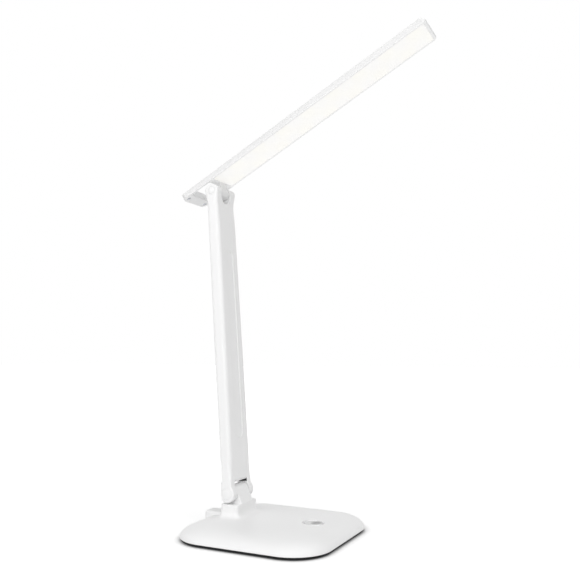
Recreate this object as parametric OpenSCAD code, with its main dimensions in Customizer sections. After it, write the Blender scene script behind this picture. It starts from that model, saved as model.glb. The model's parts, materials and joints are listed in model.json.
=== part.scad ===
// Folding LED desk lamp: a domed base, a flat folding arm and a slim light head.
// X points forward over the table, Z up.  The origin is on the table, at the centre of the base.
// At rest the arm leans back a little and the head is raised; both hinges turn about Y.

/* [Base] */
// Length of the base, back to front
base_l = 140; // [130:1:170]
// Width of the base, side to side
base_w = 138; // [120:1:170]
// Plan radius of the base's corners
base_corner_r = 34; // [26:1:44]
// Height of the dome's crown above the table
base_h = 14; // [13.5:0.5:18]
// How squarely the dome's sides stand up: a higher number gives a flatter top
dome_power = 5.5; // [5:0.5:9]
// Wall of the base shell
base_wall = 2; // [1.6:0.1:2.4]
// How far the rubber mat stands out below the bottom plate
mat_proud = 0.8; // [0.6:0.1:1.5]
// Depth that the mat is let into the bottom plate
mat_let_in = 0.4; // [0.2:0.1:0.6]
// How far the mat's edge stands in from the plate's edge
mat_inset = 3; // [2:0.5:8]
// Thickness of the bottom plate
plate_t = 1.8; // [1.6:0.1:2.4]
// How far the plate's edge stands in from the shell's edge
plate_inset = 1; // [0.4:0.1:1.4]
// Distance of the base screws in from the base's edges
base_screw_in = 19; // [17:0.5:24]

/* [Neck] */
// Distance of the lower hinge axis behind the base's centre
axis_back = 39.5; // [34:0.5:44]
// Height of the lower hinge axis above the table
axis_h = 34; // [33:0.2:40]
// Front of the neck, ahead of the hinge axis
neck_front = 11.5; // [9:0.5:13]
// Back of the neck, behind the hinge axis
neck_back = 8; // [7:0.5:11]
// Radius of the neck's upright edges
neck_edge_r = 3.5; // [2:0.5:5]
// Radius of the flare that joins the neck to the dome
flare_r = 6; // [3:0.5:8]
// Radius of the neck's knuckle about the hinge axis
knuckle_r = 6.8; // [6.4:0.1:8]
// Gap between the turning ears and the neck's shoulders
shoulder_gap = 1; // [0.6:0.1:2]
// Width of the hump behind the neck that holds the power inlet
hump_w = 15; // [14.4:0.2:34]
// Height of the hump above the table
hump_h = 15.2; // [15:0.2:18]
// Plan radius of the hump's rear corners
hump_r = 2.4; // [2.3:0.1:2.6]
// Rounding of the hump's top edges
hump_top_r = 2.2; // [1.8:0.1:2.2]
// Gap between the hump's end and the base's rear edge
hump_inset = 0.6; // [0.4:0.1:2]

/* [Touch key] */
// Distance of the touch key's centre behind the base's front edge
key_in = 32; // [28:1:40]
// Radius of the key's disc
key_r = 8; // [6:0.5:9]
// Width of the trim ring round the key
ring_w = 1.4; // [1:0.1:2.5]
// Depth of the key's seat below the dome
key_seat = 1.6; // [1.2:0.1:1.8]
// Depth of the dish in the key's top
key_dish = 0.5; // [0.2:0.1:0.8]

/* [Inside the base] */
// Thickness of the steel weight
weight_t = 4; // [3:0.5:4.5]
// Gap between the weight's front and the base's front edge
weight_in = 12; // [8:0.5:16]
// Length of the steel weight
weight_l = 82; // [70:1:84]
// Gap between the weight's sides and the base's sides
weight_side_in = 23; // [20:0.5:30]
// Length of the flat battery cell
cell_l = 34; // [24:1:36]
// Width of the flat battery cell
cell_w = 60; // [40:1:64]
// Thickness of the flat battery cell
cell_t = 4.2; // [3:0.1:4.4]
// Length of the control board
board_l = 30; // [24:1:32]
// Width of the control board
board_w = 44; // [36:1:50]
// Thickness of the control board
board_t = 1.2; // [0.8:0.1:1.6]
// Gap between the weight and the control board
board_lift = 1.3; // [1.2:0.1:1.6]

/* [Arm] */
// Distance between the two hinge axes
arm_l = 280.8; // [200:0.2:320]
// Width of the arm at the lower hinge
arm_w_low = 36.4; // [34:0.2:40]
// Width of the arm at the upper hinge
arm_w_top = 32.4; // [30:0.2:36]
// Thickness of the arm
arm_t = 11; // [10.4:0.2:12]
// Radius of the arm's long edges
arm_edge_r = 2.6; // [1.5:0.1:3.4]
// Wall of the arm's shells
arm_wall = 1.8; // [1.4:0.1:2.2]
// Thickness of the arm's back shell
back_t = 2.5; // [2:0.1:3]
// How far the arm leans back at rest, in degrees
arm_lean = 4.2; // [0:0.1:10]
// Start of the back shell above the lower axis
back_start = 28; // [24:1:40]
// Depth of the step down to the lower back cover
cover_step = 1.2; // [0.8:0.1:1.4]
// Width of the long shallow panel in the arm's front
panel_w = 13; // [8:0.5:18]
// Depth of that panel
panel_d = 0.6; // [0.6:0.1:1.2]
// Start of the panel above the lower axis
panel_start = 48; // [40:1:70]
// Gap between the end of the panel and the upper axis
panel_end_gap = 57; // [40:1:80]

/* [Lower hinge] */
// Width of the slot between the arm's lower ears
low_slot_w = 22; // [18:0.5:24]
// Height of the slot above the lower axis
low_slot_h = 9.2; // [9:0.1:12]
// Back-to-front size of a lower ear
low_ear_d = 13.3; // [12.5:0.1:14]
// How far the ear bulges ahead of the axis, beyond its back
low_ear_shift = 1.15; // [0.8:0.05:1.4]
// Radius of the lower hinge bolt
low_bolt_r = 2.5; // [2:0.1:3]
// Radius of the seats for the bolt's head and nut
low_seat_r = 4.9; // [4.6:0.1:5.2]
// Depth of those seats
low_seat_d = 3; // [2.8:0.1:3.4]

/* [Upper hinge] */
// Width of the notch between the arm's upper ears
top_slot_w = 16; // [14:0.5:18]
// Depth of the notch below the upper axis
top_slot_d = 11.4; // [11:0.1:14]
// Radius of an upper ear
top_ear_r = 6.2; // [5.8:0.1:6.6]
// Radius of the head's knuckle
tongue_r = 5.6; // [5:0.1:6]
// Radius of the upper hinge bolt
top_bolt_r = 1.75; // [1.5:0.05:2]
// Radius of the seats for the bolt's head and nut
top_seat_r = 3.7; // [3.5:0.1:4]
// Depth of those seats
top_seat_d = 2.6; // [2.4:0.1:3]

/* [Hinge fittings] */
// Thickness of a friction washer
washer_t = 0.5; // [0.3:0.1:0.8]
// Thickness of a bolt head or a nut
nut_t = 1.6; // [1.4:0.1:1.8]
// Thickness of a spring washer
spring_t = 0.5; // [0.4:0.1:0.6]

/* [Head] */
// Tilt of the head above level at rest, in degrees
head_up = 27.9; // [0:0.1:60]
// Length of the head ahead of the upper axis
head_front = 242; // [180:1:262]
// Length of the loop behind the upper axis
head_rear = 31; // [28:0.5:40]
// Width of the head
head_w = 37.5; // [36:0.5:44]
// Thickness of the head at its crown
head_t = 9; // [8.6:0.1:11]
// Height of the head's underside above the upper axis
head_off = 7.8; // [7.4:0.1:9]
// Wall of the head's top shell
head_wall = 1.4; // [1.2:0.1:1.6]
// Thickness of the head's lower frame
frame_t = 1.8; // [1.4:0.1:2.2]
// Plan radius of the corners at the tip
tip_r = 3; // [2:0.5:6]
// Plan radius of the corners at the rear
rear_r = 5.5; // [3:0.5:7]
// Rounding of the tip's lower edge, seen from the side
tip_low_r = 1.7; // [1:0.1:3]
// Rounding of the tip's upper edge, seen from the side
tip_top_r = 5.4; // [3:0.1:5.4]
// Front-to-back width of the bar that closes the loop
rear_bar = 10; // [8:0.5:11]
// Width of the rails beside the loop's window
rail_w = 2.5; // [2:0.1:3]
// Front edge of the window, ahead of the upper axis
window_front = 2; // [1:0.5:3]
// Corner radius of the window
window_r = 3; // [2:0.5:4]
// Start of the diffuser, ahead of the upper axis
diff_start = 7.6; // [7:0.2:9]
// Width of the frame's ledge that the diffuser lies on
diff_ledge = 0.6; // [0.4:0.1:1]
// Thickness of the diffuser's visible plate
diff_t = 1.2; // [0.8:0.1:1.6]
// Thickness of the diffuser's flange
flange_t = 0.8; // [0.6:0.1:1]
// Thickness of the lips that locate the frame in the top shell
lip_t = 0.9; // [0.7:0.1:1.2]

/* [Light source] */
// Width of the LED board
led_board_w = 27; // [20:1:28]
// Thickness of the LED board
led_board_t = 1; // [0.8:0.1:1.2]
// Number of LED chips in one row
led_count = 16; // [8:1:20]
// Length of one LED chip
chip_l = 3.5; // [2:0.1:4]
// Width of one LED chip
chip_w = 2.8; // [2:0.1:4]
// Height of one LED chip
chip_t = 0.7; // [0.5:0.1:0.8]

/* [Clearances] */
// Gap between pieces that are laid or slid together
fit = 0.15; // [0.1:0.05:0.25]
// Radial running gap between a bolt and the knuckle that turns on it
run_fit = 0.05; // [0.02:0.01:0.09]
// Side gap between a washer and the knuckle
side_fit = 0.05; // [0.05:0.01:0.2]

/* [Hidden] */

$fn = 64;
eps = 0.01;
WHITE = [0.95, 0.95, 0.94];
BLACK = [0.07, 0.07, 0.08];
STEEL = [0.72, 0.73, 0.75];

shell_z = mat_proud + plate_t;             // underside of the base shell
dome_steps = 9;                             // levels of the dome between its foot and its crown
dome_stop = 86;                             // angle of the last level, in degrees
low_ear_r = low_ear_d / 2;
low_ear_reach = low_ear_r + low_ear_shift;  // farthest point of a lower ear from its axis
shoulder_z = axis_h - low_ear_reach - shoulder_gap;
screw_r = 1.25;                             // shank of every base screw
screw_head_r = 2.8;
screw_head_t = 1;
screw_l = 7;                                // whole length of a base screw
boss_r = 3.6;
boss_top = base_h - 1.5 * base_wall;        // the bosses run up into the dome's wall
post_r = 2.4;                               // posts of the control board
weight_w = base_w - 2 * weight_side_in;
key_x = base_l / 2 - key_in;                // the key's centre
weight_front = base_l / 2 - weight_in;      // front edge of the weight
small_r = 1;                                // shank of the small screws

// ---- shared shapes -------------------------------------------------------------------------

// Rectangle with round corners, centred
module round_rect(l, w, r) {
    square([l - 2 * r, w], center = true);
    square([l, w - 2 * r], center = true);
    for (x = [-1, 1], y = [-1, 1])
        translate([x * (l / 2 - r), y * (w / 2 - r)]) circle(r);
}

// A solid of constant Y section: the XZ profile given as a child, from y0 to y1
module along_y(y0, y1) {
    translate([0, y1, 0]) rotate([90, 0, 0]) linear_extrude(y1 - y0) children();
}

// Copies at the four base screws, at height z
module at_base_screws(z) {
    for (x = [-1, 1], y = [-1, 1])
        translate([x * (base_l / 2 - base_screw_in), y * (base_w / 2 - base_screw_in), z]) children();
}

// A cylinder on the Y axis from y0 to y1
module rod_y(r, y0, y1) {
    translate([0, y1, 0]) rotate([90, 0, 0]) cylinder(r = r, h = y1 - y0);
}

// Arm frame: origin on the lower axis, Z along the arm, X to its front
module in_arm() {
    translate([-axis_back, 0, axis_h]) rotate([0, -arm_lean, 0]) children();
}

// Head frame: origin on the upper axis, X along the head to its tip, Z out of its top
module in_head() {
    in_arm() translate([0, 0, arm_l]) rotate([0, arm_lean - head_up, 0]) children();
}

// Half the arm's width at height z of the arm frame
function arm_half(z) = (arm_w_low + (arm_w_top - arm_w_low) * z / arm_l) / 2;

// ---- base ----------------------------------------------------------------------------------

// The dome's edge turns over by a rule: at angle a its level has risen by h*sin(a), and stands in
// from the foot by the share 1 - cos(a)^(2/power) of the half width
function dome_in(a, w) = w / 2 * (1 - pow(cos(a), 2 / dome_power));
function dome_z(x, l, h) = h * sqrt(1 - pow(abs(2 * x / l), dome_power));

module dome(l, w, r, z0, h, steps, fn) {
    hull() for (i = [0 : steps]) {
        a = dome_stop * i / steps;
        u = dome_in(a, w);
        translate([0, 0, z0 + h * sin(a)]) linear_extrude(eps)
            round_rect(l - 2 * u, w - 2 * u, max(r - u, 1), $fn = fn);
    }
}

// Concave flare round a rounded rectangle: a quarter-circle fillet of radius f at its foot
module flare_section(f) {
    difference() {
        translate([-f, 0]) square([2 * f, f]);
        translate([f, f]) circle(f);
    }
}

module flared_foot(l, w, r, f) {
    linear_extrude(f) round_rect(l, w, r);
    for (s = [-1, 1]) {
        translate([-(l / 2 - r), 0, 0]) rotate([90, 0, 90])
            linear_extrude(l - 2 * r) translate([s * w / 2, 0]) mirror([s < 0 ? 1 : 0, 0]) flare_section(f);
        rotate([90, 0, 0]) translate([0, 0, -(w / 2 - r)])
            linear_extrude(w - 2 * r) translate([s * l / 2, 0]) mirror([s < 0 ? 1 : 0, 0]) flare_section(f);
    }
    for (i = [0 : 3])
        translate([(i == 0 || i == 3 ? 1 : -1) * (l / 2 - r), (i < 2 ? 1 : -1) * (w / 2 - r), 0])
            rotate([0, 0, 90 * i]) rotate_extrude(angle = 90) {
                square([r, f]);
                intersection() {
                    translate([r, 0]) flare_section(f);
                    square([r + f, f]);
                }
            }
}

// The neck's profile in the XZ plane about the hinge axis: a round knuckle whose front runs down
// its tangent to the neck's front edge at the shoulder
module neck_profile() {
    drop = axis_h - shoulder_z;
    reach = norm([neck_front, drop]);
    a = acos(knuckle_r / reach) - atan2(drop, neck_front);
    circle(knuckle_r);
    polygon([[-neck_back, -drop - 2], [neck_front, -drop - 2], [neck_front, -drop],
        [knuckle_r * cos(a), knuckle_r * sin(a)], [0, 0], [-knuckle_r, 0], [-neck_back, -drop + 3]]);
}

module neck() {
    mid = (neck_front - neck_back) / 2;
    l = neck_front + neck_back;
    top_z = base_h - 0.5;
    translate([-axis_back + mid, 0, 0]) {
        translate([0, 0, top_z - 4]) linear_extrude(shoulder_z - top_z + 4)
            round_rect(l, arm_w_low, neck_edge_r);
        translate([0, 0, top_z - 0.4]) flared_foot(l, arm_w_low, neck_edge_r, flare_r);
    }
    translate([-axis_back, 0, axis_h])
        along_y(-knuckle_half, knuckle_half) neck_profile();
}
knuckle_half = low_slot_w / 2 - washer_t - side_fit;
neck_wall = [3.2, 4];                       // walls of the hollow neck, along X and Y
neck_roof = 3;                              // solid stretch of the neck under its shoulder

hump_x0 = -base_l / 2 + hump_inset;         // rear face of the hump
// A round post with a rounded top edge, as one corner of the hump
module hump_post() {
    flat_z = hump_h - hump_top_r;
    translate([0, 0, shell_z + 3]) cylinder(r = hump_r, h = flat_z - shell_z - 3, $fn = 48);
    translate([0, 0, flat_z]) rotate_extrude($fn = 48) intersection() {
        translate([hump_r - hump_top_r, 0]) circle(hump_top_r, $fn = 48);
        square([hump_r, hump_top_r]);
    }
    translate([0, 0, flat_z]) cylinder(r = hump_r - hump_top_r, h = hump_top_r, $fn = 48);
}

// Rounded box whose front end stands inside the neck
module hump() {
    y = hump_w / 2 - hump_r;
    hull() for (x = [hump_x0 + hump_r, -axis_back - neck_back / 2], s = [-1, 1])
        translate([x, s * y, 0]) hump_post();
}

inlet_w = 9;                                // mouth of the power inlet
inlet_h = 3.4;
inlet_z = 10.6;                             // height of its centre
inlet_body_w = 10;
inlet_body_h = 5;
inlet_body_l = 7;
hump_wall = 2.6;
lead_r = 1.1;                               // lead between the inlet and the battery cell
lead_bend = 2.2;                            // how far it stands off the inlet before it turns down

board_x = key_x;
board_z = shell_z + weight_t + board_lift;  // underside of the control board
board_screw_y = board_w / 2 - 3.5;

key_z = shell_z + dome_z(key_x + key_r, base_l, base_h - shell_z) + 0.3;   // top of the trim ring
seat_z = key_z - key_seat;

module base_shell() color(WHITE) difference() {
    union() {
        difference() {
            union() {
                dome(base_l, base_w, base_corner_r, shell_z, base_h - shell_z, dome_steps, 72);
                hump();
            }
            translate([0, 0, -eps])
                dome(base_l - 2 * base_wall, base_w - 2 * base_wall, base_corner_r - base_wall,
                    shell_z, base_h - base_wall - shell_z, 6, 40);
            // room for the power inlet inside the hump
            translate([hump_x0 + hump_wall, -inlet_body_w / 2 - fit, shell_z])
                cube([inlet_body_l + lead_bend + 2 * lead_r, inlet_body_w + 2 * fit,
                    inlet_z + inlet_body_h / 2 + fit - shell_z]);
        }
        neck();
        // screw bosses and the two posts of the control board
        at_base_screws(shell_z) cylinder(r = boss_r, h = boss_top - shell_z);
        for (y = [-1, 1])
            translate([board_x, y * board_screw_y, board_z + board_t])
                cylinder(r = post_r, h = base_h - base_wall / 2 - board_z - board_t);
        // wall round the key's seat
        translate([key_x, 0, seat_z - base_wall])
            cylinder(r = key_r + ring_w + base_wall, h = base_wall + 0.4);
    }
    // hollow of the neck, open to the base below
    translate([-axis_back - neck_back + neck_wall[0], -arm_w_low / 2 + neck_wall[1], base_h - 3 * base_wall])
        cube([neck_front + neck_back - 2 * neck_wall[0], arm_w_low - 2 * neck_wall[1],
            shoulder_z - neck_roof - base_h + 3 * base_wall]);
    // hinge bore
    translate([-axis_back, 0, axis_h]) rod_y(low_bolt_r + run_fit, -arm_w_low, arm_w_low);
    // pilot holes
    at_base_screws(shell_z - 1) cylinder(r = screw_r, h = screw_l, $fn = 32);
    for (y = [-1, 1])
        translate([board_x, y * board_screw_y, board_z]) cylinder(r = small_r, h = 4, $fn = 32);
    // seat of the key and its ring, and the hole for the key's stem
    translate([key_x, 0, seat_z]) cylinder(r = key_r + ring_w + fit, h = 6);
    translate([key_x, 0, board_z + board_t + 0.5]) cylinder(r = stem_r + fit, h = 8);
    // mouth of the power inlet
    translate([hump_x0 - 2, -inlet_w / 2 - 0.4, inlet_z - inlet_h / 2 - 0.4])
        cube([hump_wall + 3, inlet_w + 0.8, inlet_h + 0.8]);
}
stem_r = 3;
wire_t = 0.7;                               // wire of the touch electrode's spring

module base_plate() color(BLACK) difference() {
    translate([0, 0, mat_proud]) linear_extrude(plate_t)
        round_rect(base_l - 2 * plate_inset, base_w - 2 * plate_inset, base_corner_r - plate_inset);
    mat_outline(fit, 0, mat_proud + mat_let_in);
    at_base_screws(0) cylinder(r = screw_head_r + fit, h = mat_proud + screw_head_t);
    at_base_screws(0) cylinder(r = screw_r + fit, h = 2 * shell_z, $fn = 32);
}

module mat_outline(gap, z0, z1) {
    in = plate_inset + mat_inset - gap;
    translate([0, 0, z0]) linear_extrude(z1 - z0)
        round_rect(base_l - 2 * in, base_w - 2 * in, base_corner_r - in);
}

// Non-slip mat under the plate, with a hole at each screw
module base_mat() color(BLACK) difference() {
    mat_outline(0, 0, mat_proud + mat_let_in);
    at_base_screws(-1) cylinder(r = screw_head_r + 1, h = 4);
}

module base_screws() color(STEEL) at_base_screws(mat_proud) difference() {
    union() {
        cylinder(r = screw_head_r, h = screw_head_t);
        cylinder(r = screw_r, h = screw_l);
    }
    cross_recess(0.65 * screw_head_r, 0.6);
}

// Cross recess in the underside of a screw head at z = 0
module cross_recess(reach, depth) {
    slot = reach / 3;
    for (a = [0, 90]) rotate([0, 0, a]) translate([-reach, -slot / 2, -1]) cube([2 * reach, slot, depth + 1]);
}

module base_weight() color(STEEL)
    translate([weight_front - weight_l / 2, 0, shell_z]) linear_extrude(weight_t) difference() {
        round_rect(weight_l, weight_w, 8);
        for (y = [-1, 1]) translate([0, y * (weight_w / 2 - 9)]) circle(3);
    }

cell_tab = [8, 2];                          // length and width of the cell's tab
cell_x = weight_front - weight_l + 3 + cell_l / 2;
module battery_cell() color([0.55, 0.58, 0.62])
    translate([cell_x, 0, shell_z + weight_t]) {
        linear_extrude(cell_t) round_rect(cell_l, cell_w, 2);
        // folded tab that holds the cell's protection board
        translate([-cell_l / 2 + cell_tab[1], -cell_w / 2 - cell_tab[1], cell_t / 4])
            cube([cell_tab[0], cell_tab[1] + eps, cell_t / 2.5]);
    }

part_y = key_r + ring_w + base_wall + 1.2;  // row of the parts on the control board
module control_board() color([0.1, 0.42, 0.2])
    translate([board_x, 0, board_z]) {
        difference() {
            translate([-board_l / 2, -board_w / 2, 0]) cube([board_l, board_w, board_t]);
            for (y = [-1, 1]) translate([0, y * board_screw_y, -1])
                cylinder(r = small_r + fit, h = 4, $fn = 32);
        }
        // driver chip, inductor and capacitor, beside the wall round the key's seat
        translate([board_l / 5, part_y, board_t]) cube([5, 4, 0.9]);
        translate([-0.4 * board_l, part_y, board_t]) cube([5, 5, 1.3]);
        translate([-0.3 * board_l, -part_y, board_t]) cylinder(r = 1.8, h = 1.4);
    }

module board_screws() color(STEEL)
    for (y = [-1, 1]) translate([board_x, y * board_screw_y, board_z]) {
        cylinder(r = small_r, h = 3.6, $fn = 32);
        translate([0, 0, -0.9]) cylinder(r = 1.8, h = 0.9, $fn = 32);
    }

// Touch electrode: a small coil spring drawn as its stacked turns, from the board to the key
module touch_spring() color(STEEL)
    translate([board_x, 0, board_z + board_t]) difference() {
        cylinder(r = stem_r - wire_t, h = seat_z - board_z - board_t);
        translate([0, 0, -1]) cylinder(r = stem_r - 2 * wire_t, h = 8);
    }

// Round key with a shallow dish in its top: the cap of a large ball is taken away
module touch_key() color([0.8, 0.8, 0.81]) {
    h = key_seat - 0.1;
    dish_r = (pow(key_r - 0.8, 2) + pow(key_dish, 2)) / (2 * key_dish);
    translate([key_x, 0, seat_z]) rotate_extrude() difference() {
        square([key_r, h]);
        translate([0, h - key_dish + dish_r]) circle(dish_r, $fn = 360);
    }
}

module touch_ring() color([0.85, 0.85, 0.86])
    translate([key_x, 0, seat_z]) rotate_extrude() {
        bead_r = (ring_w - fit) / 2;
        translate([key_r + fit, 0]) square([2 * bead_r, key_seat - bead_r]);
        translate([key_r + fit + bead_r, key_seat - bead_r]) circle(bead_r, $fn = 32);
    }

module power_inlet() color([0.6, 0.61, 0.63])
    translate([hump_x0, 0, inlet_z]) {
        difference() {
            union() {
                translate([hump_wall, -inlet_body_w / 2, -inlet_body_h / 2])
                    cube([inlet_body_l, inlet_body_w, inlet_body_h]);
                translate([0.4, 0, 0]) rotate([90, 0, 90]) linear_extrude(hump_wall)
                    round_rect(inlet_w, inlet_h, inlet_h / 2 - 0.01);
            }
            translate([-1, 0, 0]) rotate([90, 0, 90]) linear_extrude(6.5)
                round_rect(inlet_w - 0.7, inlet_h - 0.7, inlet_h / 2 - 0.36);
        }
        translate([1.2, -2.9, -0.35]) cube([5, 5.8, 0.7]);
    }

// Lead from the inlet to the battery cell: down behind the socket, then straight to the cell
module base_lead() color(BLACK) {
    x0 = hump_x0 + hump_wall + inlet_body_l;
    x1 = x0 + lead_bend;
    z0 = shell_z + weight_t + lead_r;
    translate([x0, 0, inlet_z]) rotate([0, 90, 0]) cylinder(r = lead_r, h = x1 - x0, $fn = 20);
    translate([x1, 0, inlet_z]) sphere(lead_r, $fn = 20);
    translate([x1, 0, z0]) cylinder(r = lead_r, h = inlet_z - z0, $fn = 20);
    translate([x1, 0, z0]) sphere(lead_r, $fn = 20);
    translate([x1, 0, z0]) rotate([0, 90, 0]) cylinder(r = lead_r, h = cell_x - cell_l / 2 - x1, $fn = 20);
}

// ---- arm -----------------------------------------------------------------------------------

// Full outer form of the arm, from axis to axis: a rounded section that narrows upwards
module arm_form(wall, z0, z1) {
    hull() for (z = [z0, z1 - eps])
        translate([0, 0, z]) linear_extrude(eps)
            round_rect(arm_t - 2 * wall, 2 * (arm_half(z) - wall), max(arm_edge_r - wall, 0.4), $fn = 48);
}

// An ear: a disc with rounded rims on the Y axis
module ear(r, half) {
    rim = 1.2;
    rotate([90, 0, 0]) rotate_extrude() {
        translate([0, -half]) square([r - rim, 2 * half]);
        translate([0, -half + rim]) square([r, 2 * (half - rim)]);
        for (s = [-1, 1]) translate([r - rim, s * (half - rim)]) circle(rim, $fn = 32);
    }
}

split_x = -arm_t / 2 + back_t;              // plane where the arm's two shells meet
cavity_x = arm_t / 2 - arm_wall - panel_d;  // inner face of the arm's front wall
cavity_low = low_slot_h + 2.6;
cavity_top = arm_l - top_slot_d - 2.4;
cover_start = low_slot_h + 1.2;              // lower end of the back opening
back_end = arm_l - top_slot_d - 1.4;        // its upper end
post_arm_r = 3;                             // screw posts in the arm
arm_screw_low = 60;                         // lowest arm screw, above the lower axis
arm_screw_top_gap = 40;                     // gap between the highest one and the upper axis
arm_boss_z = [arm_screw_low, (arm_screw_low + arm_l - arm_screw_top_gap) / 2, arm_l - arm_screw_top_gap];
arm_screw_head_r = 2.1;
arm_sink = 1.1;                             // depth of its countersink
arm_screw_grip = 3.4;                       // length that it enters the front shell

module low_slot() {
    half = low_slot_w / 2;
    // the slot itself, and the rounding of the edge that folds down over the neck
    translate([-arm_t, -half, -arm_t]) cube([2 * arm_t, low_slot_w, arm_t + low_slot_h]);
    r = 3;
    along_y(-half, half) difference() {
        translate([arm_t / 2 - r, low_slot_h - 1]) square([r + 1, r + 1]);
        translate([arm_t / 2 - r, low_slot_h + r]) circle(r);
    }
}

module top_notch() {
    translate([-arm_t, 0, arm_l]) rotate([90, 0, 90]) linear_extrude(2 * arm_t) {
        translate([-top_slot_w / 2, -top_slot_d + top_slot_w / 2]) square([top_slot_w, 4 * top_ear_r]);
        translate([0, -top_slot_d + top_slot_w / 2]) circle(top_slot_w / 2);
    }
}

module hinge_cuts(z, bolt_r, seat_r, seat_d, half) {
    translate([0, 0, z]) {
        rod_y(bolt_r, -half - 2, half + 2);
        rod_y(seat_r, -half - 4, -half + seat_d);
        rod_y(seat_r, half - seat_d, half + 4);
    }
}

// Concave fillet that leads the arm's front face into the bulge of the lower ears
ear_fillet_r = 4;
ear_fillet_bite = 0.05;                     // how far its arc runs into the face and the bulge
module ear_fillet() {
    reach = ear_fillet_r - ear_fillet_bite;
    fx = arm_t / 2 + reach;
    fz = sqrt(pow(low_ear_r + reach, 2) - pow(fx - low_ear_shift, 2));
    side = arm_half(fz) - arm_edge_r / 2;
    along_y(-side, side) difference() {
        polygon([[0, 0], [low_ear_shift, 0], [fx, fz], [0, fz]]);
        translate([fx, fz]) circle(ear_fillet_r);
    }
}

module arm_front_shell() color(WHITE) in_arm() difference() {
    union() {
        ear_fillet();
        difference() {
            arm_form(0, 0, arm_l);
            // the back is open for the back shell and the lower cover
            translate([split_x - arm_t, -arm_w_low, cover_start])
                cube([arm_t, 2 * arm_w_low, back_end - cover_start]);
        }
        translate([low_ear_shift, 0, 0]) ear(low_ear_r, arm_half(0));
        translate([0, 0, arm_l]) ear(top_ear_r, arm_half(arm_l));
    }
    intersection() {
        arm_form(arm_wall, cavity_low, cavity_top);
        translate([-arm_t, -arm_w_low, 0]) cube([arm_t + cavity_x, 2 * arm_w_low, arm_l]);
        // the screw posts stay standing in the hollow
        difference() {
            translate([-arm_t, -arm_w_low, 0]) cube([2 * arm_t, 2 * arm_w_low, arm_l]);
            for (z = arm_boss_z) translate([split_x, 0, z]) rotate([0, 90, 0])
                cylinder(r = post_arm_r, h = arm_t, $fn = 40);
        }
    }
    // long shallow panel in the front
    translate([arm_t / 2 - panel_d, 0, (panel_start + arm_l - panel_end_gap) / 2]) rotate([0, 90, 0])
        linear_extrude(2 * panel_d)
            round_rect(arm_l - panel_end_gap - panel_start, panel_w, panel_w / 2 - eps);
    for (z = arm_boss_z)
        translate([split_x - 1, 0, z]) rotate([0, 90, 0])
            cylinder(r = small_r, h = arm_screw_grip + 1.6, $fn = 32);
    low_slot();
    top_notch();
    hinge_cuts(0, low_bolt_r, low_seat_r, low_seat_d, arm_half(0));
    hinge_cuts(arm_l, top_bolt_r, top_seat_r, top_seat_d, arm_half(arm_l));
}

module arm_back_shell() color(WHITE) in_arm() difference() {
    intersection() {
        arm_form(0, 0, arm_l);
        translate([split_x - arm_t, -arm_w_low, back_start + fit])
            cube([arm_t, 2 * arm_w_low, back_end - back_start - 2 * fit]);
    }
    // hollow side, and countersunk screw holes
    intersection() {
        arm_form(arm_wall, back_start + 3, back_end - 3);
        translate([split_x - 0.8, -arm_w_low, 0]) cube([2, 2 * arm_w_low, arm_l]);
    }
    for (z = arm_boss_z) translate([-arm_t / 2, 0, z]) rotate([0, 90, 0]) {
        translate([0, 0, -1]) cylinder(r = small_r + fit, h = 6, $fn = 32);
        translate([0, 0, -eps]) cylinder(r1 = arm_screw_head_r, r2 = small_r + fit, h = arm_sink, $fn = 32);
    }
}

// Cover over the wire entry behind the lower hinge, set down from the back shell
module lower_back_cover() color(WHITE) in_arm()
    intersection() {
        arm_form(0, 0, arm_l);
        translate([-arm_t / 2 + cover_step, -arm_w_low, cover_start + fit])
            cube([back_t - cover_step, 2 * arm_w_low, back_start - cover_start - fit]);
    }

module arm_screws() color(STEEL) in_arm()
    for (z = arm_boss_z) translate([-arm_t / 2, 0, z]) rotate([0, 90, 0]) difference() {
        union() {
            cylinder(r1 = arm_screw_head_r - fit / 2, r2 = small_r, h = arm_sink, $fn = 32);
            cylinder(r = small_r, h = back_t + arm_screw_grip, $fn = 32);
        }
        cross_recess(0.65 * arm_screw_head_r, 0.5);
    }

// Lead to the light head, laid against the arm's front wall beside the screw posts
module arm_lead() color(BLACK) in_arm()
    translate([cavity_x - lead_r, 2 * post_arm_r, cavity_low])
        cylinder(r = lead_r, h = cavity_top - cavity_low, $fn = 20);

// ---- hinge fittings ------------------------------------------------------------------------

// Bolt along Y with its head at the near side
module hinge_bolt(r, seat_r, seat_d, half) {
    y0 = -half + seat_d;
    rod_y(r, y0 - 0.5, half - seat_d + spring_t + nut_t);
    rod_y(seat_r - 0.6, y0 - nut_t, y0);
}

module hinge_nut(r, seat_r, seat_d, half) {
    y0 = half - seat_d + spring_t;
    difference() {
        translate([0, y0 + nut_t, 0]) rotate([90, 0, 0]) cylinder(r = seat_r - 0.4, h = nut_t, $fn = 6);
        rod_y(r, y0 - 1, y0 + nut_t + 1);
    }
}

module spring_washer(r, seat_r, seat_d, half) {
    y0 = half - seat_d;
    difference() {
        rod_y(seat_r - 0.5, y0, y0 + spring_t);
        rod_y(r, y0 - 1, y0 + 2);
        translate([0, y0 - 1, -0.25]) cube([seat_r, 3, 0.5]);
    }
}

module friction_washers(r, out_r, slot_w) {
    for (y0 = [-slot_w / 2, slot_w / 2 - washer_t]) difference() {
        rod_y(out_r, y0, y0 + washer_t);
        rod_y(r, -slot_w, slot_w);
    }
}

// Round covers that close the seats: a thin drum with a low dome
module hinge_caps(seat_r, seat_d, half) {
    drum = seat_d - spring_t - nut_t;
    dome_h = 0.5;
    ball = (pow(seat_r, 2) + pow(dome_h, 2)) / (2 * dome_h);
    for (s = [-1, 1]) rotate([s > 0 ? -90 : 90, 0, 0]) translate([0, 0, half - drum]) intersection() {
        cylinder(r = seat_r - fit / 2, h = drum + dome_h);
        translate([0, 0, drum + dome_h - ball]) sphere(ball, $fn = 128);
    }
}

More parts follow.
